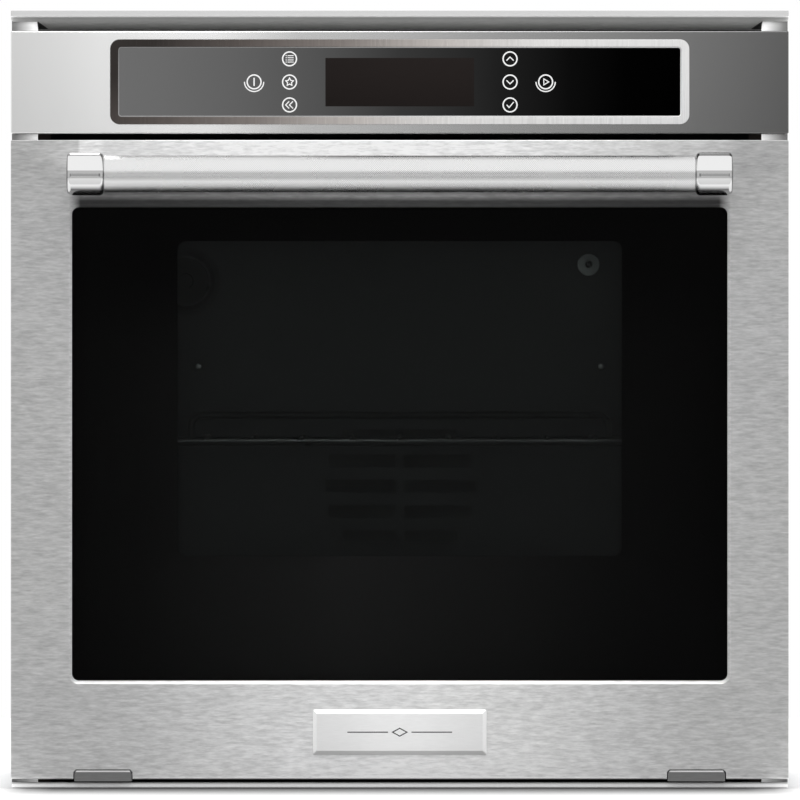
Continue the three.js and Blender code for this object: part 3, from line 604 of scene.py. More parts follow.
def end_chrome():
    """Polished end caps with painted reflections: painted dark rims, and a painted grey band across the middle."""
    m = M("end_chrome", (0.86, 0.86, 0.86), 0.045, 1.0)
    w = m.noise(22, (1, 1, 1), 4.0, 0.6)
    x, y, z = m.sep()[:3]
    # painted reflection bands up the front of the cap
    up = m.ramp(m.remap(z, 0.0, 1.0, (GRIP_Z - 16.4) / 1000, (GRIP_Z + 16.4) / 1000), [(0.0, 0.5), (0.14, 0.72), (0.3, 0.80), (0.385, 0.86), (0.40, 0.55), (0.422, 0.55), (0.43, 0.95), (0.50, 0.95), (0.508, 0.55), (0.565, 0.55), (0.58, 1.0), (0.91, 1.0), (0.925, 0.30), (0.96, 0.30), (0.975, 0.65), (1.0, 0.65)])
    front = m.node("ShaderNodeMix", data_type="RGBA")
    m.link(m.math("LESS_THAN", y, Y(-97.0)), front.inputs[0])
    front.inputs[6].default_value = (0.9, 0.9, 0.9, 1)
    flat = m.math("LESS_THAN", m.math("ABSOLUTE", m.math("SUBTRACT", m.math("ABSOLUTE", x), 0.23955)), 0.0106)
    line = m.ramp(m.remap(z, 0.0, 1.0, (GRIP_Z - 16.4) / 1000, (GRIP_Z + 16.4) / 1000), [(0.422, 1.0), (0.43, 0.58), (0.50, 0.58), (0.508, 1.0)])
    rim = m.node("ShaderNodeMix", data_type="RGBA")
    m.link(flat, rim.inputs[0])
    m.link(line, rim.inputs[6])
    rim.inputs[7].default_value = (1, 1, 1, 1)
    m.link(m.mul(up, rim.outputs[2]), front.inputs[7])
    # painted dark reflection along the outer rim
    out = m.ramp(m.remap(m.math("ABSOLUTE", x), 0.0, 1.0, 0.250, 0.254), [(0.0, 1.0), (0.60, 1.0), (0.68, 0.14), (1.0, 0.10)])
    m.color(m.mul(m.mul(front.outputs[2], out), m.ramp(w, [(0.3, 0.84), (0.7, 0.86)])))
    m.rough(m.remap(w, 0.035, 0.07, 0.3, 0.75))
    return m.m


MAT["end_chrome"] = end_chrome()
MAT["wire"] = chrome("plated_wire", 0.74, 0.16)
# the shelf's chrome is painted near black, as painted shade inside the dark cavity
MAT["shelf_wire"] = chrome("shelf_wire", 0.11, 0.34)


def galvanised():
    """Zinc-coated sheet: a faint spangle, dull patches and a few rolling lines."""
    m = M("galvanised_sheet", (0.5, 0.52, 0.54), 0.42, 0.9)
    v = m.node("ShaderNodeTexVoronoi", feature="F1")
    v.inputs["Scale"].default_value = 90.0
    m.link(m.coords(), v.inputs["Vector"])
    sp = m.node("ShaderNodeSeparateColor")
    m.link(v.outputs["Color"], sp.inputs[0])
    fog = m.noise(9, (1, 1, 1), 5.0, 0.6)
    m.color(m.mul(m.ramp(sp.outputs[0], [(0.0, (0.47, 0.49, 0.51)), (1.0, (0.60, 0.62, 0.635))]), m.ramp(fog, [(0.3, 0.86), (0.65, 1.0)])))
    m.rough(m.math("ADD", m.remap(sp.outputs[1], 0.32, 0.46), m.remap(fog, 0.06, -0.04, 0.3, 0.7)))
    line = m.noise(1.0, (700, 700, 12), 2.0)
    m.bump(m.math("ADD", m.math("MULTIPLY", sp.outputs[2], 0.25), line), 0.05, 0.0001)
    return m.m


MAT["galvanised"] = galvanised()


def hinge_plate():
    """Zinc-coated bracket whose front flap is dark grey, with a painted highlight along its upper edge."""
    m = M("hinge_plate", (0.5, 0.52, 0.54), 0.40, 0.6)
    x, y, z = m.sep()[:3]
    flap = m.math("LESS_THAN", y, Y(-43.3))
    g = m.noise(1.0, (110, 1200, 1200), 3.0, 0.6)
    # painted highlight: the flap brightens about fourfold along its upper edge
    grey = m.mul(m.ramp(g, [(0.3, 0.19), (0.7, 0.225)]), m.ramp(m.remap(z, 0.0, 1.0, 0.006, 0.0142), [(0.0, 1.0), (0.83, 0.9), (0.90, 4.0), (1.0, 4.4)]))
    w = m.noise(40, (1, 1, 1), 4.0)
    zinc = m.ramp(w, [(0.3, (0.46, 0.48, 0.50)), (0.7, (0.58, 0.60, 0.62))])
    mx = m.node("ShaderNodeMix", data_type="RGBA")
    m.link(flap, mx.inputs[0])
    m.link(zinc, mx.inputs[6])
    m.link(grey, mx.inputs[7])
    m.color(mx.outputs[2])
    m.rough(m.remap(w, 0.34, 0.48, 0.3, 0.7))
    m.bump(g, 0.05, 0.0001)
    return m.m


MAT["hinge_plate"] = hinge_plate()


def enamel(name="black_enamel", base=0.012):
    """Glossy vitreous enamel: near black with fine pale flecks and a slight orange peel."""
    m = M(name, (base, base, base), 0.16, 0.0, IOR=1.52)
    v = m.node("ShaderNodeTexVoronoi", feature="F1")
    v.inputs["Scale"].default_value = 420.0
    m.link(m.coords(), v.inputs["Vector"])
    fl = m.node("ShaderNodeSeparateColor")
    m.link(v.outputs["Color"], fl.inputs[0])
    dot = m.math("MULTIPLY", m.math("LESS_THAN", v.outputs["Distance"], 0.32), m.math("GREATER_THAN", fl.outputs[0], 0.86))
    m.color(m.ramp(dot, [(0.0, (base, base, base * 1.12)), (1.0, (0.11, 0.115, 0.125))]))
    peel = m.noise(160, (1, 1, 1), 2.0)
    m.rough(m.remap(m.noise(14, (1, 1, 1), 4.0), 0.12, 0.24, 0.3, 0.7))
    m.bump(peel, 0.06, 0.0004)
    return m.m


MAT["enamel"] = enamel()
MAT["enamel_grey"] = enamel("grey_enamel", 0.060)


def panel_glass():
    m = M("panel_glass", (0.004, 0.004, 0.0042), 0.03, 0.0, IOR=1.75)
    d = m.noise(260, (1, 1, 1), 3.0)
    m.rough(m.remap(d, 0.02, 0.05, 0.4, 0.75))
    m.color(m.ramp(m.noise(12, (1, 1, 1), 2.0), [(0.3, (0.0002, 0.0002, 0.0002)), (0.7, (0.0004, 0.0004, 0.0004))]))
    x = m.sep()[0]
    m.set("Specular IOR Level", 0.3)
    m.link(m.ramp(m.remap(x, 0.0, 1.0, -0.215, 0.215), PANEL_SHEEN), m.b.inputs["Specular IOR Level"])
    return m.m


PANEL_SHEEN = [(0.0, 1.0), (0.08, 0.95), (0.2, 0.81), (0.36, 0.55), (0.5, 0.25), (0.68, 0.085), (0.8, 0.022), (0.9, 0.002), (1.0, 0.0)]


def film():
    m = M("display_film", (0.0152, 0.0123, 0.0116), 0.55, 0.0, IOR=1.06)
    d = m.noise(900, (1, 1, 1), 2.0)
    m.color(m.ramp(d, [(0.3, (0.0142, 0.0115, 0.0108)), (0.7, (0.0162, 0.0131, 0.0124))]))
    m.bump(d, 0.04, 0.00005)
    return m.m


def ink(name, c, rough=0.5, painted_glow=0.0):
    m = M(name, c, rough, 0.0, IOR=1.3)
    d = m.noise(1500, (1, 1, 1), 2.0)
    m.color(m.ramp(d, [(0.3, tuple(k * 0.93 for k in c)), (0.7, c)]))
    m.bump(d, 0.03, 0.00003)
    # painted_glow makes the print give off a little light of its own
    if painted_glow:
        m.set("Emission Color", (*c, 1))
        m.set("Emission Strength", painted_glow)
    return m.m


def clear_glass(name, tint, ior=1.45, rough=0.0):
    m = M(name, tint, rough, 0.0, IOR=ior)
    m.set("Transmission Weight", 1.0)
    d = m.noise(40, (1, 1, 1), 3.0)
    m.color(m.ramp(d, [(0.3, tuple(k * 0.985 for k in tint)), (0.7, tint)]))
    return m.m


MAT["panel_glass"] = panel_glass()
MAT["film"] = film()
# the symbols carry a faint painted glow
MAT["symbols"] = ink("symbol_print", (0.80, 0.80, 0.80), 0.4, 0.12)


def border_print():
    """Black ceramic print behind the glass, under a painted reflection that makes it a touch greyer low in the middle
    than at its edges.
    """
    m = M("border_print", (0.003, 0.003, 0.003), 0.45, 0.0, IOR=1.3)
    m.set("Specular IOR Level", 0.0)
    x, y, z = m.sep()[:3]
    # painted reflection across and up the print
    across = m.ramp(m.remap(x, 0.0, 1.0, -0.25, 0.25), [(0.0, 0.12), (0.11, 0.28), (0.2, 0.55), (0.42, 1.0), (0.66, 0.62), (0.82, 0.26), (1.0, 0.05)])
    up = m.ramp(m.remap(z, 0.0, 1.0, 0.083, 0.445), [(0.0, 0.85), (0.1, 0.97), (0.6, 1.0), (0.72, 0.8), (0.87, 0.12), (1.0, 0.04)])
    d = m.noise(1500, (1, 1, 1), 2.0)
    m.color(m.mul(m.mul(across, up), m.ramp(d, [(0.3, 0.039), (0.7, 0.044)])))
    m.bump(d, 0.03, 0.00003)
    return m.m


MAT["border"] = border_print()


def window_glass():
    m = M("door_glass", (0.45, 0.455, 0.455), 0.0, 0.0, IOR=1.13)
    m.set("Transmission Weight", 1.0)
    d = m.noise(40, (1, 1, 1), 3.0)
    m.color(m.ramp(d, [(0.3, (0.445, 0.45, 0.45)), (0.7, (0.45, 0.455, 0.455))]))
    x, y, z = m.sep()[:3]
    ax = m.math("ABSOLUTE", x)
    # painted reflection: the glass reflects most in the middle, fading towards the sides and the top
    sx = m.ramp(m.remap(ax, 0.0, 1.0, 0.0, 0.25), [(0.0, 1.0), (0.3, 0.9), (0.6, 0.5), (0.85, 0.22), (1.0, 0.18)], "B_SPLINE")
    sz = m.ramp(m.remap(z, 0.0, 1.0, 0.08, 0.45), [(0.0, 0.7), (0.25, 0.95), (0.6, 1.0), (0.8, 0.6), (1.0, 0.15)], "B_SPLINE")
    m.link(m.math("MULTIPLY", m.mul(sx, sz), 0.5), m.b.inputs["Specular IOR Level"])
    return m.m


MAT["door_glass"] = window_glass()
MAT["inner_glass"] = clear_glass("inner_glass", (0.93, 0.96, 0.95), 1.25)
MAT["lamp_glass"] = clear_glass("lamp_glass", (0.80, 0.82, 0.81), 1.2)


def seal():
    """Woven seal: a braid of fine strands round a soft core."""
    m = M("woven_seal", (0.05, 0.048, 0.045), 0.75, 0.0)
    x, y, z = m.sep()[:3]
    a = m.math("MULTIPLY", m.math("ADD", m.math("ADD", x, z), m.math("MULTIPLY", y, 0.8)), 2300.0)
    b = m.math("MULTIPLY", m.math("SUBTRACT", m.math("SUBTRACT", x, z), m.math("MULTIPLY", y, 0.8)), 2300.0)
    h = m.math("MAXIMUM", m.math("SINE", a), m.math("SINE", b))
    m.color(m.ramp(m.remap(h, 0, 1, -1, 1), [(0.2, (0.02, 0.019, 0.018)), (1.0, (0.085, 0.082, 0.078))]))
    m.bump(h, 0.5, 0.0003)
    return m.m


MAT["seal"] = seal()


def plastic(name, c, rough=0.45):
    m = M(name, c, rough, 0.0)
    n = m.noise(1400, (1, 1, 1), 2.0)
    w = m.noise(25, (1, 1, 1), 3.0)
    m.color(m.ramp(w, [(0.3, tuple(k * 0.85 for k in c)), (0.7, tuple(min(1, k * 1.1) for k in c))]))
    m.rough(m.remap(w, rough - 0.06, rough + 0.08, 0.3, 0.7))
    m.bump(n, 0.12, 0.00008)
    return m.m


MAT["plastic"] = plastic("moulded_plastic", (0.016, 0.016, 0.017))
MAT["ceramic"] = plastic("lamp_ceramic", (0.72, 0.70, 0.65), 0.55)


def element():
    """Heater sheath: dark oxide with brown and blue heat tints."""
    m = M("heater_sheath", (0.10, 0.095, 0.09), 0.45, 0.85)
    w = m.noise(28, (1, 1, 1), 4.0, 0.6)
    m.color(m.ramp(w, [(0.3, (0.055, 0.05, 0.048)), (0.5, (0.13, 0.115, 0.10)), (0.62, (0.15, 0.125, 0.115)), (0.78, (0.10, 0.105, 0.125))]))
    m.rough(m.remap(w, 0.36, 0.58, 0.3, 0.7))
    m.bump(m.noise(900, (1, 1, 1), 3.0), 0.15, 0.00012)
    return m.m


MAT["element"] = element()


def wool():
    m = M("glass_wool", (0.78, 0.72, 0.50), 0.95, 0.0)
    a = m.noise(1.0, (60, 260, 260), 6.0, 0.7, rot=(0.2, 0.3, 0.1))
    b = m.noise(1.0, (240, 50, 240), 6.0, 0.7, rot=(0.4, 0.1, 0.7))
    m.color(m.ramp(m.math("MULTIPLY", m.math("ADD", a, b), 0.5), [(0.3, (0.50, 0.44, 0.27)), (0.7, (0.86, 0.81, 0.62))]))
    m.bump(m.math("ADD", a, b), 0.8, 0.002)
    return m.m


MAT["wool"] = wool()


def board():
    m = M("circuit_board", (0.02, 0.12, 0.05), 0.4, 0.0)
    br = m.node("ShaderNodeTexBrick")
    br.inputs["Scale"].default_value = 120.0
    br.inputs["Color1"].default_value = (0.015, 0.10, 0.04, 1)
    br.inputs["Color2"].default_value = (0.02, 0.13, 0.055, 1)
    br.inputs["Mortar"].default_value = (0.05, 0.22, 0.10, 1)
    br.inputs["Mortar Size"].default_value = 0.03
    m.link(m.coords((1, 1, 1), (math.radians(90), 0, 0)), br.inputs["Vector"])
    m.color(br.outputs["Color"])
    m.bump(br.outputs["Fac"], 0.1, 0.0001)
    return m.m


MAT["board"] = board()


def cast():
    """Pressed and machined aluminium."""
    m = M("aluminium", (0.62, 0.63, 0.64), 0.38, 1.0)
    w = m.noise(60, (1, 1, 1), 5.0, 0.6)
    m.color(m.ramp(w, [(0.3, (0.52, 0.53, 0.54)), (0.7, (0.68, 0.69, 0.70))]))
    m.rough(m.remap(w, 0.30, 0.46, 0.3, 0.7))
    m.bump(m.noise(700, (1, 1, 1), 3.0), 0.08, 0.0001)
    return m.m


MAT["aluminium"] = cast()
MAT["fan_steel"] = plastic("fan_oxide", (0.10, 0.098, 0.095), 0.5)


def bright_plate():
    m = M("bright_plate", (0.88, 0.88, 0.87), 0.34, 0.45)
    g = m.noise(1.0, (150, 1300, 1300), 3.0, 0.6)
    x = m.sep()[0]
    # painted sheen: brightest in the middle of the badge, darker towards its ends
    painted_glow = m.ramp(m.remap(m.math("ABSOLUTE", x), 0.0, 1.0, 0.0, 0.066), [(0.0, 1.0), (0.25, 0.99), (0.7, 0.90), (1.0, 0.86)])
    m.color(m.mul(m.ramp(g, [(0.25, 0.93), (0.75, 0.99)]), painted_glow))
    m.rough(m.remap(g, 0.30, 0.34, 0.3, 0.7))
    m.bump(g, 0.006, 0.0001)
    return m.m


MAT["bright_plate"] = bright_plate()


def frame_steel():
    """Stainless frame: bright at its outer flanges, darkened outwards across them by painted shade; black between them,
    with a dark brown band of painted shade beside each flange.
    """
    m = M("frame_steel", (0.7, 0.7, 0.69), 0.2, 1.0)
    x, y, z = m.sep()[:3]
    ax = m.math("ABSOLUTE", x)
    mask = m.math("GREATER_THAN", ax, 0.2774)
    mask2 = m.math("GREATER_THAN", ax, 0.2676)
    g = m.noise(1.0, (120, 1200, 1200), 3.0)
    mx = m.node("ShaderNodeMix", data_type="RGBA")
    m.link(mask2, mx.inputs[0])
    mx.inputs[6].default_value = (0.004, 0.004, 0.004, 1)
    # dark brown band beside each flange, painted shade
    mx.inputs[7].default_value = (0.032, 0.027, 0.025, 1)
    mx2 = m.node("ShaderNodeMix", data_type="RGBA")
    m.link(mask, mx2.inputs[0])
    m.link(mx.outputs[2], mx2.inputs[6])
    # painted shade: each flange darkens from its inner edge outwards
    painted_shade_out = m.ramp(m.remap(ax, 0.0, 1.0, 0.2774, 0.2975), [(0.0, 1.0), (0.10, 0.92), (0.45, 0.52), (0.83, 0.21), (1.0, 0.15)])
    m.link(m.mul(m.ramp(g, [(0.3, 0.90), (0.7, 0.98)]), painted_shade_out), mx2.inputs[7])
    m.color(mx2.outputs[2])
    m.rough(m.remap(mask, 0.55, 0.30))
    m.set("Specular IOR Level", 0.12)
    m.bump(g, 0.04, 0.0001)
    return m.m


MAT["frame_steel"] = frame_steel()

# ---------------------------------------------------------------- carried-over CAD nodes
CAD_FINISH = {
    "front_frame": "frame_steel", "insulation_blanket": "wool", "fan_cover": "enamel_grey", "bake_element": "element",
    "lamp_housing": "ceramic", "convection_motor": "aluminium", "convection_fan": "fan_steel", "blower_impeller": "aluminium",
    "blower_motor": "aluminium", "air_duct": "galvanised", "blower_housing": "galvanised", "side_panel_left": "galvanised",
    "side_panel_right": "galvanised", "base_rail_left": "galvanised", "base_rail_right": "galvanised", "rear_panel": "galvanised",
    "top_panel": "galvanised", "base_panel": "galvanised", "terminal_box": "galvanised", "display_module": "plastic",
    "control_board": "board", "top_trim": "top_trim_steel", "door_switch_body": "plastic", "door_switch_plunger": "plastic",
    "hinge_receiver_left": "galvanised", "hinge_receiver_right": "galvanised", "spring_rod_left": "galvanised",
    "spring_rod_right": "galvanised", "hinge_bracket_left": "hinge_plate", "hinge_bracket_right": "hinge_plate",
    "hinge_pin_left": "wire", "hinge_pin_right": "wire", "door_liner": "enamel", "window_shroud": "enamel",
    "middle_glass": "inner_glass", "inner_glass": "inner_glass",
}
EDGE = {"insulation_blanket": 3.0, "front_frame": 0.25, "top_trim": 0.4, "fan_cover": 0.35, "door_liner": 0.4, "base_panel": 0.3,
        "middle_glass": 0.5, "inner_glass": 0.5, "lamp_housing": 0.8, "convection_motor": 1.0, "blower_motor": 1.0}
for name, finish in CAD_FINISH.items():
    ob = NODES[name]
    me = ob.data
    for extra in ("custom_normal",):
        if extra in me.attributes:
            me.attributes.remove(me.attributes[extra])
    me.polygons.foreach_set("use_smooth", [True] * len(me.polygons))
    me.materials.clear()
    me.materials.append(MAT[finish])
    w = ob.modifiers.new("weld", "WELD")
    w.merge_threshold = 0.00002
    d = ob.modifiers.new("faces", "DECIMATE")
    d.decimate_type = "DISSOLVE"
    d.angle_limit = math.radians(0.6)
    b = ob.modifiers.new("edges", "BEVEL")
    b.width = EDGE.get(name, 0.3) / 1000.0
    b.segments = 2
    b.limit_method = "ANGLE"
    b.angle_limit = math.radians(40)
    b.use_clamp_overlap = True
    b.harden_normals = False
    ob.modifiers.new("normals", "WEIGHTED_NORMAL").keep_sharp = True


# ---------------------------------------------------------------- sheet-metal fronts
def inset(poly, d):
    """Moves every edge of an anticlockwise outline inwards by d."""
    n = len(poly)
    out = []
    for i in range(n):
        a, b, c = Vector(poly[i - 1]), Vector(poly[i]), Vector(poly[(i + 1) % n])
        e1, e2 = (b - a).normalized(), (c - b).normalized()
        n1, n2 = Vector((-e1.y, e1.x)), Vector((-e2.y, e2.x))
        k = n1 + n2
        out.append(tuple(b + k * (d / max(0.25, 1 + n1.dot(n2)))))
    return out


def rounded(poly, radii, n=5):
    """Rounds each corner of an outline by its own radius."""
    out = []
    m = len(poly)
    for i in range(m):
        a, b, c = Vector(poly[i - 1]), Vector(poly[i]), Vector(poly[(i + 1) % m])
        d1, d2 = (a - b).normalized(), (c - b).normalized()
        ang = d1.angle(d2)
        r = radii[i]
        if r < 0.02:
            out.append(tuple(b))
            continue
        reach = r / math.tan(ang / 2)
        cen = b + (d1 + d2).normalized() * (r / math.sin(ang / 2))
        p, q = b + d1 * reach - cen, b + d2 * reach - cen
        sw = p.angle(q)
        for k in range(n + 1):
            t = k / n
            out.append(tuple(cen + p * (math.sin((1 - t) * sw) / math.sin(sw)) + q * (math.sin(t * sw) / math.sin(sw))))
    return out


def tray(outline, window, y0, back, sheet, fold, lip_w, lip_d, seg=5):
    """A pressed sheet front: flat face at y0 with an opening, edges folded back to the depth back(u, v)."""
    from mathutils.geometry import tessellate_polygon

    rim = [back(u, v) for u, v in outline]
    v, f = [], []
    n, m = len(outline), len(window)

    def outer(d, ys):
        base = len(v)
        v.extend((u, y, w) for (u, w), y in zip(inset(outline, d), ys))
        return base

    rows = []
    for k in range(seg + 1):
        a = math.pi / 2 * (1 - k / seg)
        rows.append(outer(fold * (1 - math.cos(a)), [y0 + fold * (1 - math.sin(a))] * n))
    rows.append(outer(0.0, [y - 0.15 for y in rim]))
    rows.append(outer(0.15, rim))
    rows.append(outer(sheet - 0.15, rim))
    rows.append(outer(sheet, [y - 0.15 for y in rim]))
    fi = max(0.3, fold - sheet)
    for k in range(seg + 1):
        a = math.pi / 2 * k / seg
        rows.append(outer(sheet + fi * (1 - math.cos(a)), [y0 + sheet + fi * (1 - math.sin(a))] * n))
    # front face ring first: the first row is the front edge, so the strips run front -> rim -> inside
    for a, b in zip(rows, rows[1:]):
        for i in range(n):
            j = (i + 1) % n
            f.append((a + i, b + i, b + j, a + j))
    win = []

    def inner(d, y):
        base = len(v)
        v.extend((u, y, w) for u, w in inset(window, -d))
        win.append(base)

    inner(lip_w, y0)
    for d, h in ((0.87, 0.05), (0.74, 0.20), (0.61, 0.45), (0.48, 0.68), (0.35, 0.83), (0.2, 0.93), (0.0, 1.0)):
        inner(lip_w * d, y0 + lip_d * h)
    inner(0.0, y0 + sheet)
    for a, b in zip(win, win[1:]):
        for i in range(m):
            j = (i + 1) % m
            f.append((a + j, b + j, b + i, a + i))

    def face(o, w, flip):
        loops = [[Vector((v[o + i][0], v[o + i][2], 0)) for i in range(n)], [Vector((v[w + i][0], v[w + i][2], 0)) for i in range(m)]]
        index = [o + i for i in range(n)] + [w + i for i in range(m)]
        for t in tessellate_polygon(loops):
            tri = [index[i] for i in t]
            p = [Vector((v[i][0], v[i][2])) for i in tri]
            area = (p[1] - p[0]).cross(p[2] - p[0])
            if (area < 0) != flip:
                tri.reverse()
            f.append(tuple(tri))

    face(rows[0], win[0], False)
    face(rows[-1], win[-1], True)
    return v, f


def add_normals(ob):
    ob.modifiers.new("normals", "WEIGHTED_NORMAL").keep_sharp = True
    return ob


HX = 226.8
notch = []
for h in (-HX, HX):
    notch += [(h - 22.7, 7.7), (h - 22.4, 12.8), (h - 20.6, 14.8), (h + 20.6, 14.8), (h + 22.4, 12.8), (h + 22.7, 7.7)]
pts = [(-297.2, 7.7)] + notch + [(297.2, 7.7), (297.2, 496.1), (-297.2, 496.1)]
rad = [1.2] + [0.25, 0.6, 0.6, 0.6, 0.6, 0.25] * 2 + [1.2, 1.2, 1.2]
skin_line = rounded(pts, rad, 4)
win_line = rr(-250.5, 250.5, 82.9, 444.7, 5.5, 10)


def skin_back(u, w):
    return -27.0 if (w < 20 and abs(u) < 290) else -13.0


door_skin = make("door_skin_formed", *tray(skin_line, win_line, -45.0, skin_back, 1.2, 0.55, 3.0, 1.0), "door", "brushed_stainless", ["door_skin"], mat=MAT["door_steel"])
add_normals(door_skin)

fascia_line = rounded([(-297.2, 501.0), (297.2, 501.0), (297.2, 579.5), (-297.2, 579.5)], [1.2] * 4, 4)
fascia = make("fascia_formed", *tray(fascia_line, rr(-219, 219, 510.4, 570.7, 5, 10), -45.0, lambda u, w: -2.5, 1.2, 0.95, 0.3, 0.3), "chassis", "brushed_stainless", ["control_fascia"], mat=MAT["fascia_steel"])
add_normals(fascia)

# bottom trim: hemmed lip with a round nose
prof = []
for cy, cz, a0 in ((-13.2, 3.8, 90), (-13.2, 1.3, 180)):
    for k in range(6):
        a = math.radians(a0 + 90 * k / 5)
        prof.append((cy + 0.8 * math.cos(a), cz + 0.8 * math.sin(a)))
prof += [(16.0, 0.5), (16.0, 1.7), (-8.8, 1.7), (-8.5, 2.0), (-8.5, 4.3), (-8.8, 4.6)]
trim = make("bottom_trim_formed", *loft([[(x, y, z) for y, z in prof] for x in (-297.2, 297.2)]), "chassis", "brushed_stainless", ["bottom_trim"], mat=MAT["lip_steel"])
add_normals(trim)

# small dark pieces at the ends of the top trim's slope, standing in for the shadow there
for side, s in (("left", -1), ("right", 1)):
    def slope(z, lift):
        y = -45 + (590.7 - z) / 9.8 * 42.7
        return y - 0.35 * lift, z - 1.6 * 0.35 * lift
    loops = []
    for lift in (0.2, 1.0):
        loop = []
        for x, z in ((277.2, 587.2), (277.2, 582.2), (269.8, 582.2)):
            y, zz = slope(z, lift)
            loop.append((s * x, y, zz))
        loops.append(loop)
    make("trim_corner_shadow_" + side, *loft(loops), "chassis", "black_plastic", mat=MAT["plastic"], smooth=False)

# ---------------------------------------------------------------- control section
add_normals(make("bezel_ring", *frame_plate((-221.3, 221.3, 508.1, 573.0, 7.3), (-215.2, 215.2, 513.8, 567.3, 2.5), -46.4, -45.3, 0.3, 10, 3, 0.45), "chassis", "satin_stainless", ["control_bezel"], mat=MAT["bezel_steel"]))
add_normals(make("panel_glass", *plate(-214.9, 214.9, 514.1, 567.0, 2.2, -45.7, -42.7, 0.35, 8), "chassis", "black_glass", ["control_glass"], mat=MAT["panel_glass"]))
# thin bright ring standing in for the highlight on the edge of the glass
add_normals(make("glass_edge_highlight_ring", *frame_plate((-215.15, 215.15, 513.85, 567.25, 2.4), (-214.45, 214.45, 514.55, 566.55, 1.8), -46.05, -45.72, 0.12, 10, 2), "chassis", "satin_stainless", mat=MAT["bead"]))
make("display_film", *plate(-56.8, 56.8, 521.8, 558.8, 0.4, -45.74, -45.70, 0.01, 3, 1), "chassis", "black_glass", mat=MAT["film"])


def stroke(points, w, closed=False, y0=-45.79, y1=-45.70):
    """A printed line of width w through (x, z) points, as a thin closed strip."""
    p = [Vector(q) for q in points]
    n = len(p)
    loops = []
    for i in range(n):
        a = p[i - 1] if (closed or i) else p[i] - (p[1] - p[0])
        b = p[(i + 1) % n] if (closed or i < n - 1) else p[i] + (p[i] - p[i - 1])
        e1, e2 = (p[i] - a).normalized(), (b - p[i]).normalized()
        n1, n2 = Vector((-e1.y, e1.x)), Vector((-e2.y, e2.x))
        k = (n1 + n2) / max(0.3, 1 + n1.dot(n2))
        l, r = p[i] + k * (w / 2), p[i] - k * (w / 2)
        loops.append([(l.x, y0, l.y), (r.x, y0, r.y), (r.x, y1, r.y), (l.x, y1, l.y)])
    return loft(loops, ring=closed)


def circle(cx, cz, r, a0=0.0, a1=360.0, n=48):
    full = abs(a1 - a0) >= 359.9
    return [(cx + r * math.cos(math.radians(a0 + (a1 - a0) * k / n)), cz + r * math.sin(math.radians(a0 + (a1 - a0) * k / n))) for k in range(n if full else n + 1)]


def button(name, cx, cz, shapes, ring=True, arc=False):
    s = Soup()
    if ring:
        s.add(*stroke(circle(cx, cz, 5.30), 1.0, True))
    if arc:
        s.add(*stroke(circle(cx, cz, 7.35, 180, 360, 36), 0.85))
    for pts, w, closed in shapes:
        s.add(*stroke([(cx + u, cz + v) for u, v in pts], w, closed))
    return make("symbol_" + name, s.v, s.f, "chassis", "plate", mat=MAT["symbols"], smooth=False)


button("menu", -84.2, 558.1, [([(u0, v), (u1, v)], 0.62, False) for v in (-2.45, -0.85, 0.85, 2.45) for u0, u1 in ((-3.0, -2.1), (-1.5, 3.1))])
star = []
for k in range(10):
    a, r = math.radians(90 + 36 * k), (3.1, 1.55)[k % 2]
    star.append((r * math.cos(a), r * math.sin(a)))
button("favourite", -84.2, 540.4, [(star, 0.75, True)])
button("back", -84.2, 522.9, [([(-0.3, 2.7), (-3.0, 0), (-0.3, -2.7)], 0.8, False), ([(2.6, 2.7), (-0.1, 0), (2.6, -2.7)], 0.8, False)])
button("up", 84.3, 558.1, [([(-2.7, -1.3), (0, 1.4), (2.7, -1.3)], 0.8, False)])
button("down", 84.3, 540.4, [([(-2.7, 1.3), (0, -1.4), (2.7, 1.3)], 0.8, False)])
button("confirm", 84.3, 522.9, [([(-2.6, 0.1), (-0.7, -2.0), (2.8, 2.2)], 0.8, False)])
button("power", -111.3, 540.5, [([(0, -3.1), (0, 3.1)], 0.95, False)], arc=True)
button("start", 111.5, 540.5, [([(-1.4, 2.3), (-1.4, -2.3), (2.4, 0)], 0.7, True)], arc=True)

# ---------------------------------------------------------------- handle
KNURL_CUT = 0.09
verts, faces, rows = [], [], []


def grip_ring(x, radius):
    rows.append(len(verts))
    for k in range(KNURL_N):
        t = TAU * k / KNURL_N
        q = radius(k)
        verts.append((x, GRIP_Y + q * math.cos(t), GRIP_Z + q * math.sin(t)))


for x, q in ((-225.1, 13.55), (-224.75, 13.9)):
    grip_ring(x, lambda k, q=q: q)
for i in range(KNURL_ROWS + 1):
    grip_ring(-KNURL_X + KNURL_STEP * i, lambda k, i=i: 14.0 - (KNURL_CUT if (i + k) % 2 == 0 else 0.0))
for x, q in ((224.75, 13.9), (225.1, 13.55)):
    grip_ring(x, lambda k, q=q: q)
for i, (a, b) in enumerate(zip(rows, rows[1:])):
    for k in range(KNURL_N):
        j = (k + 1) % KNURL_N
        if (i - 2 + k) % 2 == 0:  # the cut runs along a + k -> b + j
            faces += [(a + k, b + j, b + k), (a + k, a + j, b + j)]
        else:
            faces += [(a + k, a + j, b + k), (a + j, b + j, b + k)]
faces.append(tuple(range(rows[0], rows[0] + KNURL_N))[::-1])
faces.append(tuple(range(rows[-1], rows[-1] + KNURL_N)))
grip = make("handle_grip", verts, [tuple(reversed(f)) for f in faces], "door", "knurled_bar", ["handle_bar"], smooth=False, mat=MAT["knurled"])
caps = []
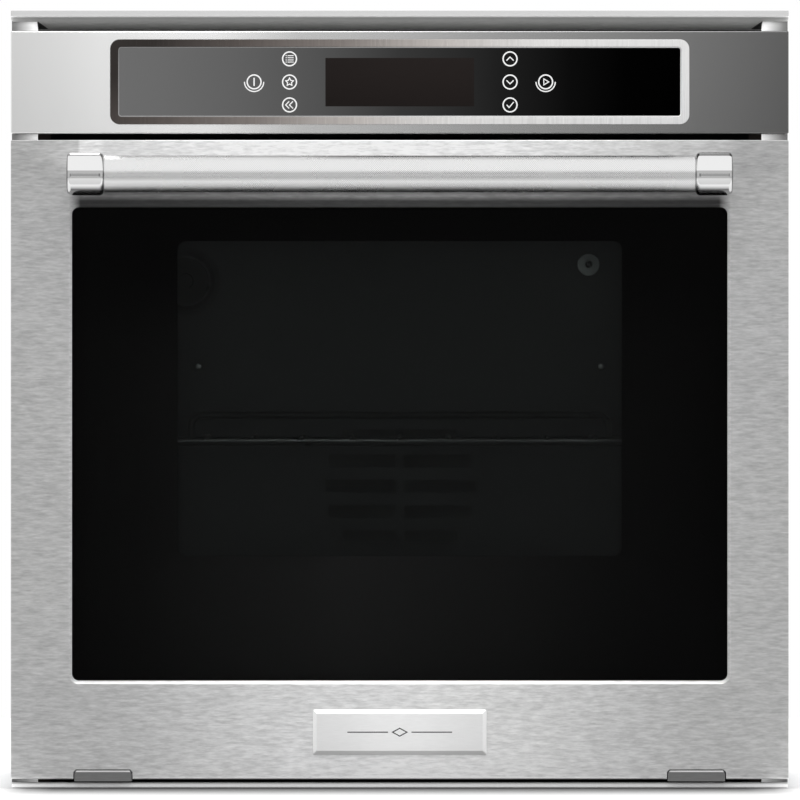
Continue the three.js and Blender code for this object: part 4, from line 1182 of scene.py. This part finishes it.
for side, s in (("left", -1), ("right", 1)):
    prof = [(225.3, 0), (225.3, 13.3)]
    for k in range(9):
        a = math.radians(180 - 90 * k / 8)
        prof.append((228.9 + 3.6 * math.cos(a), 13.3 + 3.1 * math.sin(a)))
    for k in range(11):
        a = math.radians(90 - 82 * k / 10)
        prof.append((250.2 + 3.0 * math.cos(a), 13.4 + 3.0 * math.sin(a)))
    prof += [(253.6, 10.0), (253.9, 5.0), (254.0, 0)]
    cap = Soup()
    cap.add(*lathe("x", [(s * a, r) for a, r in (prof if s > 0 else prof[::-1])], GRIP_Y, GRIP_Z, 96))
    cap.add(*plate(*((226, 248.4) if s > 0 else (-248.4, -226)), GRIP_Z - 13.5, GRIP_Z + 13.5, 5, GRIP_Y, -45.3, 0.5, 10))
    ob = make("handle_end_" + side, cap.v, cap.f, "door", "polished_chrome", ["handle_post_" + side], mat=MAT["end_chrome"])
    caps.append(add_normals(ob))

# ---------------------------------------------------------------- badge plate, with a plain ornament
loops = [[(u, y, v + 43.6) for u, v in rr(-66.4 + d, 66.4 - d, -17.2 + d, 17.2 - d, max(0.6, 1.0 - d * 0.1), 4)]
         for d, y in ((0.15, -45.3), (0.0, -45.45), (0.0, -46.2), (0.12, -46.38), (2.9, -47.9), (3.1, -48.0))]
add_normals(make("badge_plate", *loft(loops), "door", "plate", ["name_plate"], mat=MAT["bright_plate"]))
orn = Soup()
orn.add(*stroke([(-40, 43.6), (-9, 43.6)], 0.8, False, -48.06, -47.99))
orn.add(*stroke([(9, 43.6), (40, 43.6)], 0.8, False, -48.06, -47.99))
orn.add(*stroke([(-5.5, 43.6), (0, 40.6), (5.5, 43.6), (0, 46.6)], 0.8, True, -48.06, -47.99))
make("badge_ornament", orn.v, orn.f, "door", "black_plastic", mat=ink("ornament_print", (0.03, 0.03, 0.032), 0.4), smooth=False)

# ---------------------------------------------------------------- door glass
add_normals(make("window_glass", *plate(-262, 262, 71.5, 456, 8, -43.5, -39.5, 0.6, 8), "door", "door_glass", ["outer_glass"], mat=MAT["door_glass"]))
make("window_border", *frame_plate((-261, 261, 72.5, 455, 7), (-170, 170, 178, 419, 7), -39.48, -39.30, 0.03, 8, 1), "door", "black_glass", mat=MAT["border"])
make("inner_glass_border", *frame_plate((-187.4, 187.4, 160.6, 437.4, 7.4), (-172, 172, 176, 422, 10), -16.1, -15.92, 0.03, 8, 1), "door", "black_glass", mat=MAT["border"])

# ---------------------------------------------------------------- seal round the mouth
loops = []
for k in range(16):
    t = -TAU * k / 16
    c, sn = math.cos(t), math.sin(t)
    d = 5.0 * (abs(c) ** 0.8) * (1 if c > 0 else -1)
    y = -6.15 + 3.85 * (abs(sn) ** 0.8) * (1 if sn > 0 else -1)
    loops.append([(u, y, v) for u, v in rr(-252 - d, 252 + d, 62 - d, 458 + d, 25 + d, 10)])
make("mouth_seal", *loft(loops, ring=True), "chassis", "seal", ["door_gasket"], mat=MAT["seal"])

# ---------------------------------------------------------------- cavity
loops = []


def pan(d, y):
    loops.append([(u, y, v) for u, v in rr(-238 - d, 238 + d, 76 - d, 444 + d, 14 + d, 12)])


pan(0.0, 0.9)
pan(0.0, 443.0)
for k in range(1, 9):
    a = math.pi / 2 * k / 8
    pan(-7.0 * (1 - math.cos(a)), 443.0 + 7.0 * math.sin(a))
inner_back = len(loops)
for k in range(8, -1, -1):
    a = math.pi / 2 * k / 8
    pan(1.5 - 8.5 * (1 - math.cos(a)), 443.0 + 8.5 * math.sin(a))
pan(1.5, 0.5)
pan(1.3, 0.3)
pan(0.2, 0.3)
n = len(loops[0])
verts = [p for l in loops for p in l]
faces = []
for a in range(len(loops)):
    if a == inner_back - 1:
        continue
    b = (a + 1) % len(loops)
    for i in range(n):
        j = (i + 1) % n
        faces.append((a * n + i, b * n + i, b * n + j, a * n + j))
faces.append(tuple((inner_back - 1) * n + i for i in range(n)))
faces.append(tuple(inner_back * n + i for i in reversed(range(n))))
add_normals(make("cavity_pressing", verts, [tuple(reversed(f)) for f in faces], "chassis", "black_enamel", ["cavity_liner"], mat=MAT["enamel_grey"]))

# heaters
ring = [(-10, 470, 141), (-10, 445, 141), (-11, 438, 140.8)]
a0, a1 = -math.pi / 2 - 0.22, -math.pi / 2 - TAU + 0.22
ring += [(88 * math.cos(a0 + (a1 - a0) * i / 72), 436, 229 + 88 * math.sin(a0 + (a1 - a0) * i / 72)) for i in range(73)]
ring += [(11, 438, 140.8), (10, 445, 141), (10, 470, 141)]
make("heater_ring", *tube(ring, 3.4, 14), "chassis", "element_sheath", ["ring_element"], mat=MAT["element"])
left = [(-30, 470), (-30, 408), (-196, 408), (-196, 60), (-140, 60), (-140, 372), (-84, 372), (-84, 60), (-28, 60), (-28, 372)]
broil = left + [(-x, y) for x, y in reversed(left)]
grill = Soup().add(*tube(arc_pts([(x, y, 428) for x, y in broil], 17, 10), 3.5, 14))
for x in (-30, 30):  # ceramic collars where it goes through the wall
    grill.add(*lathe("y", [(446.0, 0), (446.0, 5.2), (446.6, 5.8), (449.9, 5.8), (449.9, 0)], x, 428, 32))
for y in (110, 330):  # hanger straps
    grill.add(*block(-206, 206, y - 5, y + 5, 431.6, 432.6, 0.2))
make("heater_grill", grill.v, grill.f, "chassis", "element_sheath", ["broil_element"], mat=MAT["element"], sharp=40)

# lamp and probe
lens = Soup()
outer = [(425.0, 0)] + [(425.0 + 10.5 * (1 - math.cos(math.radians(a))), 23.6 * math.sin(math.radians(a))) for a in range(10, 91, 8)] + [(445.5, 23.6), (445.5, 26.4), (446.1, 27.0), (449.0, 27.0), (449.5, 26.4)]
innr = [(449.5, 20.8), (443.0, 20.4)] + [(428.0 + 9.0 * (1 - math.cos(math.radians(a))), 20.4 * math.sin(math.radians(a))) for a in range(82, 9, -8)] + [(428.0, 0)]
lens.add(*lathe("y", outer + innr, -170, 392, 64))
add_normals(make("lamp_dome", lens.v, lens.f, "chassis", "clear_glass", ["lamp_lens"], mat=MAT["lamp_glass"]))
probe = Soup()
probe.add(*lathe("y", [(380.0, 0), (380.4, 1.5), (381.4, 2.4), (382.5, 2.6), (468, 2.6), (468, 0)], 150, 405, 28))
probe.add(*lathe("y", [(446.5, 0), (446.5, 8.4), (447.1, 9.0), (449.6, 9.0), (449.6, 0)], 150, 405, 40))
make("probe_rod", probe.v, probe.f, "chassis", "chromed_wire", ["temperature_probe"], mat=MAT["wire"], sharp=35)

# rack guides: bent wires on two uprights
for side, s in (("left", -1), ("right", 1)):
    g = Soup()
    for y in (62, 384):
        g.add(*tube(arc_pts([(s * 237.6, y, 118), (s * 233.4, y, 118), (s * 233.4, y, 402), (s * 237.6, y, 402)], 3.4, 6), 2.7, 14))
    for level in (145.4, 205.4, 265.4, 325.4, 385.4):
        zc, hh = level + 0.35, 6.25
        pts = [(s * 229, 31.0, zc - hh), (s * 229, 396.0, zc - hh)]
        pts += [(s * 229, 396.0 + hh * math.sin(math.radians(a)), zc - hh * math.cos(math.radians(a))) for a in range(15, 180, 15)]
        pts += [(s * 229, 396.0, zc + hh), (s * 229, 31.0, zc + hh)]
        g.add(*tube(pts, 2.1, 12))
    make("side_ladder_" + side, g.v, g.f, "chassis", "chromed_wire", ["rack_guide_" + side], mat=MAT["wire"])

# shelf
r = Soup()
loop = arc_pts([(0, 22, 265.4), (226, 22, 265.4), (226, 398, 265.4), (-226, 398, 265.4), (-226, 22, 265.4), (0, 22, 265.4)], 13, 10)
r.add(*tube(loop[:-1], 3.0, 14, closed=True))
for y in (148, 273):
    r.add(*tube([(-226, y, 265.4), (226, y, 265.4)], 2.4, 12))
r.add(*tube(arc_pts([(-165, 398, 265.4), (-165, 398, 285.4), (165, 398, 285.4), (165, 398, 265.4)], 8, 8), 2.8, 14))
for k in range(-5, 6):
    r.add(*tube([(k * 37.7, 19.5, 268.6), (k * 37.7, 397.8, 268.6)], 1.85, 12))
make("shelf_wires", r.v, r.f, "rack", "chromed_wire", ["wire_rack"], mat=MAT["shelf_wire"])

# ---------------------------------------------------------------- hinges
for side, s in (("left", -1), ("right", 1)):
    hx = s * HX
    arm = Soup()
    arm.add(*lathe("x", [(hx - 19.6, 4.3), (hx - 19.6, 12.3), (hx - 18.9, 13.0), (hx + 18.9, 13.0), (hx + 19.6, 12.3), (hx + 19.6, 4.3), (hx - 19.6, 4.3)], -30.2, 18.7, 72))
    poly = [(-30.2, 12.4), (40, 12.4), (40, 17.4), (50, 17.4), (50, 12.4), (60, 12.4), (62, 14.4), (62, 25), (-30.2, 25)]
    loops = [[(hx + u, y, z) for y, z in inset(poly, d)] for u, d in ((-9.0, 0.35), (-8.65, 0.0), (8.65, 0.0), (9.0, 0.35))]
    arm.add(*loft(loops))
    make("hinge_knuckle_" + side, arm.v, arm.f, "chassis", "satin_stainless", ["hinge_arm_" + side], mat=MAT["trim_steel"], sharp=38)
    turns, per = 8, 28
    pts = []
    for i in range(turns * per + 1):
        a = TAU * i / per
        pts.append((hx + s * 26 + 5 * math.cos(a), 41.9 + 66.2 * i / (turns * per), 27 + 5 * math.sin(a)))
    ob = make("coil_" + side, *tube(pts, 0.9, 10), "chassis", "chromed_wire", ["hinge_spring_" + side], mat=MAT["wire"])
    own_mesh(ob)

# ---------------------------------------------------------------- cable gland and screws


def ngon(r, sides, n=36):
    out = []
    for k in range(n):
        t = 360.0 * k / n
        q = r if sides == 0 else r * math.cos(math.pi / sides) / math.cos(math.radians(((t) % (360 / sides)) - 180 / sides))
        out.append((q * math.cos(math.radians(t)), q * math.sin(math.radians(t))))
    return out


g = Soup()


def sleeve(profile):
    """A ring about the gland's axis; profile holds (z, radius, sides)."""
    loops = [[(185 + x, 535 + y, z) for x, y in ngon(r, sd)] for z, r, sd in profile]
    v, f = loft(loops, ring=True)
    g.add(v, [tuple(reversed(q)) for q in f])


sleeve([(504.4, 6.6, 0), (504.4, 12.0, 0), (503.4, 13.0, 6), (493.3, 13.0, 6), (492.0, 11.6, 0), (492.0, 6.6, 0)])
sleeve([(511.0, 6.5, 0), (511.0, 8.7, 0), (510.6, 9.0, 0), (504.0, 9.0, 0), (504.0, 6.5, 0)])
sleeve([(492.4, 6.5, 0), (492.4, 9.0, 0), (487.6, 8.9, 0), (486.2, 8.0, 0), (486.0, 6.9, 0), (487.5, 6.5, 0)])
make("gland_body", g.v, g.f, "chassis", "black_plastic", ["cable_gland"], mat=MAT["plastic"], sharp=30)

sc = Soup()
for x in (-268, 268):
    for z in (30, 215, 400, 562):
        sc.add(*screw("y", 1, 520.0, x, z))
for x in (-140, 0, 140):
    sc.add(*screw("y", 1, 520.0, x, 18))
for x in (-140, 0, 110):
    sc.add(*screw("y", 1, 520.0, x, 568))
for s in (-1, 1):
    for y in (24, 260, 500):
        sc.add(*screw("z", 1, 579.0, s * 268, y))
    for z in (40, 300, 550):
        sc.add(*screw("x", s, s * 278.0, 509, z))
for x, s in ((230, 1), (140, -1)):
    sc.add(*screw("x", s, x, 536, 535))
make("casing_screws", sc.v, sc.f, "chassis", "galvanised_steel", mat=MAT["wire"], sharp=35)
sc = Soup()
for x in (-160, 160):
    for z in (134, 324):
        sc.add(*screw("y", -1, 422.0, x, z, 3.0, 1.6))
make("cover_screws", sc.v, sc.f, "chassis", "chromed_wire", mat=MAT["wire"], sharp=35)
sc = Soup()
for x in (-274, 274):
    for z in (66, 180, 340, 460):
        sc.add(*screw("y", 1, -10.3, x, z, 3.0, 1.6))
for x in (-120, 0, 120):
    sc.add(*screw("y", 1, -10.3, x, 478, 3.0, 1.6))
make("door_screws", sc.v, sc.f, "door", "chromed_wire", mat=MAT["wire"], sharp=35)

# ---------------------------------------------------------------- stage


def stage_material(name, color, strength=None, gradient=None):
    m = bpy.data.materials.new(name)
    m.use_nodes = True
    t = m.node_tree
    if strength is None:
        b = t.nodes["Principled BSDF"]
        b.inputs["Base Color"].default_value = (*color, 1)
        b.inputs["Roughness"].default_value = 0.9
        b.inputs["Specular IOR Level"].default_value = 0.1
        b.inputs["Emission Color"].default_value = (1, 1, 1, 1)
        b.inputs["Emission Strength"].default_value = 0.22
        n = t.nodes.new("ShaderNodeTexNoise")
        n.inputs["Scale"].default_value = 30.0
        bm = t.nodes.new("ShaderNodeBump")
        bm.inputs["Strength"].default_value = 0.02
        t.links.new(n.outputs["Fac"], bm.inputs["Height"])
        t.links.new(bm.outputs["Normal"], b.inputs["Normal"])
        return m
    for nd in list(t.nodes):
        t.nodes.remove(nd)
    out = t.nodes.new("ShaderNodeOutputMaterial")
    em = t.nodes.new("ShaderNodeEmission")
    em.inputs["Color"].default_value = (*color, 1)
    em.inputs["Strength"].default_value = strength
    t.links.new(em.outputs[0], out.inputs["Surface"])
    if gradient:
        axis, lo, hi, stops = gradient
        co = t.nodes.new("ShaderNodeTexCoord")
        sp = t.nodes.new("ShaderNodeSeparateXYZ")
        mr = t.nodes.new("ShaderNodeMapRange")
        rp = t.nodes.new("ShaderNodeValToRGB")
        mr.inputs["From Min"].default_value = lo
        mr.inputs["From Max"].default_value = hi
        t.links.new(co.outputs["Object"], sp.inputs[0])
        t.links.new(sp.outputs[axis], mr.inputs["Value"])
        t.links.new(mr.outputs["Result"], rp.inputs["Fac"])
        e = rp.color_ramp.elements
        while len(e) > 1:
            e.remove(e[-1])
        for i, (p, c) in enumerate(stops):
            el = e[0] if i == 0 else e.new(p)
            el.position = p
            el.color = (c, c, c, 1)
        t.links.new(rp.outputs["Color"], em.inputs["Color"])
    return m


def card(name, corners, mat, shadow=False, diffuse=True):
    me = bpy.data.meshes.new(name)
    me.from_pydata(corners, [], [tuple(range(len(corners)))])
    ob = bpy.data.objects.new(name, me)
    bpy.context.scene.collection.objects.link(ob)
    me.materials.append(mat)
    ob.visible_camera = False
    ob.visible_shadow = shadow
    ob.visible_diffuse = diffuse
    return ob


def slab_stage(name, x0, x1, y0, y1, z0, z1, mat):
    v = [(x, y, z) for z in (z0, z1) for y in (y0, y1) for x in (x0, x1)]
    f = [(0, 2, 3, 1), (4, 5, 7, 6), (0, 1, 5, 4), (2, 6, 7, 3), (0, 4, 6, 2), (1, 3, 7, 5)]
    me = bpy.data.meshes.new(name)
    me.from_pydata(v, [], f)
    ob = bpy.data.objects.new(name, me)
    bpy.context.scene.collection.objects.link(ob)
    me.materials.append(mat)
    return ob




def contact_shadow(m):
    """A painted shadow: a soft grey patch on the plinth in front of and under the oven."""
    t = m.node_tree
    b = t.nodes["Principled BSDF"]
    co = t.nodes.new("ShaderNodeTexCoord")
    sp = t.nodes.new("ShaderNodeSeparateXYZ")
    t.links.new(co.outputs["Object"], sp.inputs[0])

    def band(out, lo, hi, stops):
        mr = t.nodes.new("ShaderNodeMapRange")
        mr.inputs["From Min"].default_value = lo
        mr.inputs["From Max"].default_value = hi
        t.links.new(out, mr.inputs["Value"])
        rp = t.nodes.new("ShaderNodeValToRGB")
        t.links.new(mr.outputs["Result"], rp.inputs["Fac"])
        e = rp.color_ramp.elements
        while len(e) > 1:
            e.remove(e[-1])
        for i, (p, c) in enumerate(stops):
            el = e[0] if i == 0 else e.new(p)
            el.position = p
            el.color = (c, c, c, 1)
        return rp.outputs["Color"]

    depth = band(sp.outputs[1], -0.53, -0.25, [(0.0, 1.0), (0.18, 0.93), (0.35, 0.80), (0.52, 0.62), (0.66, 0.44), (0.80, 0.27), (0.90, 0.18), (1.0, 0.24)])
    ab = t.nodes.new("ShaderNodeMath")
    ab.operation = "ABSOLUTE"
    t.links.new(sp.outputs[0], ab.inputs[0])
    side = band(ab.outputs[0], 0.265, 0.315, [(0.0, 1.0), (0.4, 0.75), (0.75, 0.2), (1.0, 0.0)])
    mix = t.nodes.new("ShaderNodeMix")
    mix.data_type = "RGBA"
    t.links.new(side, mix.inputs[0])
    mix.inputs[6].default_value = (1, 1, 1, 1)
    t.links.new(depth, mix.inputs[7])
    tint = t.nodes.new("ShaderNodeMix")
    tint.data_type = "RGBA"
    tint.blend_type = "MULTIPLY"
    tint.inputs[0].default_value = 1.0
    tint.inputs[6].default_value = (0.93, 0.93, 0.93, 1)
    t.links.new(mix.outputs[2], tint.inputs[7])
    t.links.new(tint.outputs[2], b.inputs["Base Color"])
    t.links.new(mix.outputs[2], b.inputs["Emission Color"])
    return m


slab_stage("plinth", -1.6, 1.6, -0.60, 2.4, -0.10, 0.0, contact_shadow(stage_material("pale_floor", (0.93, 0.93, 0.93))))
lower = stage_material("lower_floor", (0.78, 0.78, 0.78))
lower.node_tree.nodes["Principled BSDF"].inputs["Emission Strength"].default_value = 0.0
slab_stage("floor", -3.0, 3.0, -3.2, 2.6, -0.16, -0.12, lower)

world = bpy.data.worlds.new("studio")
bpy.context.scene.world = world
world.use_nodes = True
bg = world.node_tree.nodes["Background"]
bg.inputs["Color"].default_value = (1, 1, 1, 1)
bg.inputs["Strength"].default_value = 1.0

FLAG = 0.40
card("wall_low", [(-1.3, -2.62, -0.12), (1.3, -2.62, -0.12), (1.3, -2.62, 0.53), (-1.3, -2.62, 0.53)], stage_material("wall_low", (1, 1, 1), FLAG))


def area(name, loc, target, size, power, color=(1, 1, 1), shape="RECTANGLE", size_y=None):
    ld = bpy.data.lights.new(name, "AREA")
    ld.shape = shape
    ld.size = size
    if size_y:
        ld.size_y = size_y
    ld.energy = power
    ld.color = color
    ob = bpy.data.objects.new(name, ld)
    bpy.context.scene.collection.objects.link(ob)
    ob.location = loc
    ob.rotation_mode = "QUATERNION"
    ob.rotation_quaternion = (Vector(target) - Vector(loc)).to_track_quat("-Z", "Y")
    ob.visible_camera = False
    return ob


key = area("key", (0.0, -2.0, 2.4), (0, -0.1, 0.3), 1.6, 26, size_y=1.0)
off = bpy.data.collections.new("grip_only")
for ob in [grip] + caps:
    off.objects.link(ob)
for entry in off.collection_objects:
    entry.light_linking.link_state = "EXCLUDE"
key.light_linking.receiver_collection = off
fill = area("gap_fill", (0.0, -2.4, 0.40), (0, -0.2, 0.40), 0.9, 5, size_y=0.7)
lit = bpy.data.collections.new("recessed_metal")
for ob in (NODES["front_frame"], NODES["top_trim"]):
    lit.objects.link(ob)
fill.light_linking.receiver_collection = lit
lip_fill = area("lip_fill", (0.0, -2.4, 0.40), (0, -0.2, 0.40), 0.9, 38, size_y=0.7)
lip = bpy.data.collections.new("lip_metal")
lip.objects.link(trim)
lip_fill.light_linking.receiver_collection = lip

cam_data = bpy.data.cameras.new("camera")
cam = bpy.data.objects.new("camera", cam_data)
bpy.context.scene.collection.objects.link(cam)
cam_data.lens = 706.6
cam_data.sensor_width = 36.0
cam_data.clip_start = 0.05
cam_data.clip_end = 50
cam.location = (0.0002, -12.265, 0.2974)
cam.rotation_euler = (math.radians(90), 0, 0)
bpy.context.scene.camera = cam
bpy.context.scene.view_settings.view_transform = "Standard"
bpy.context.scene.view_settings.look = "None"
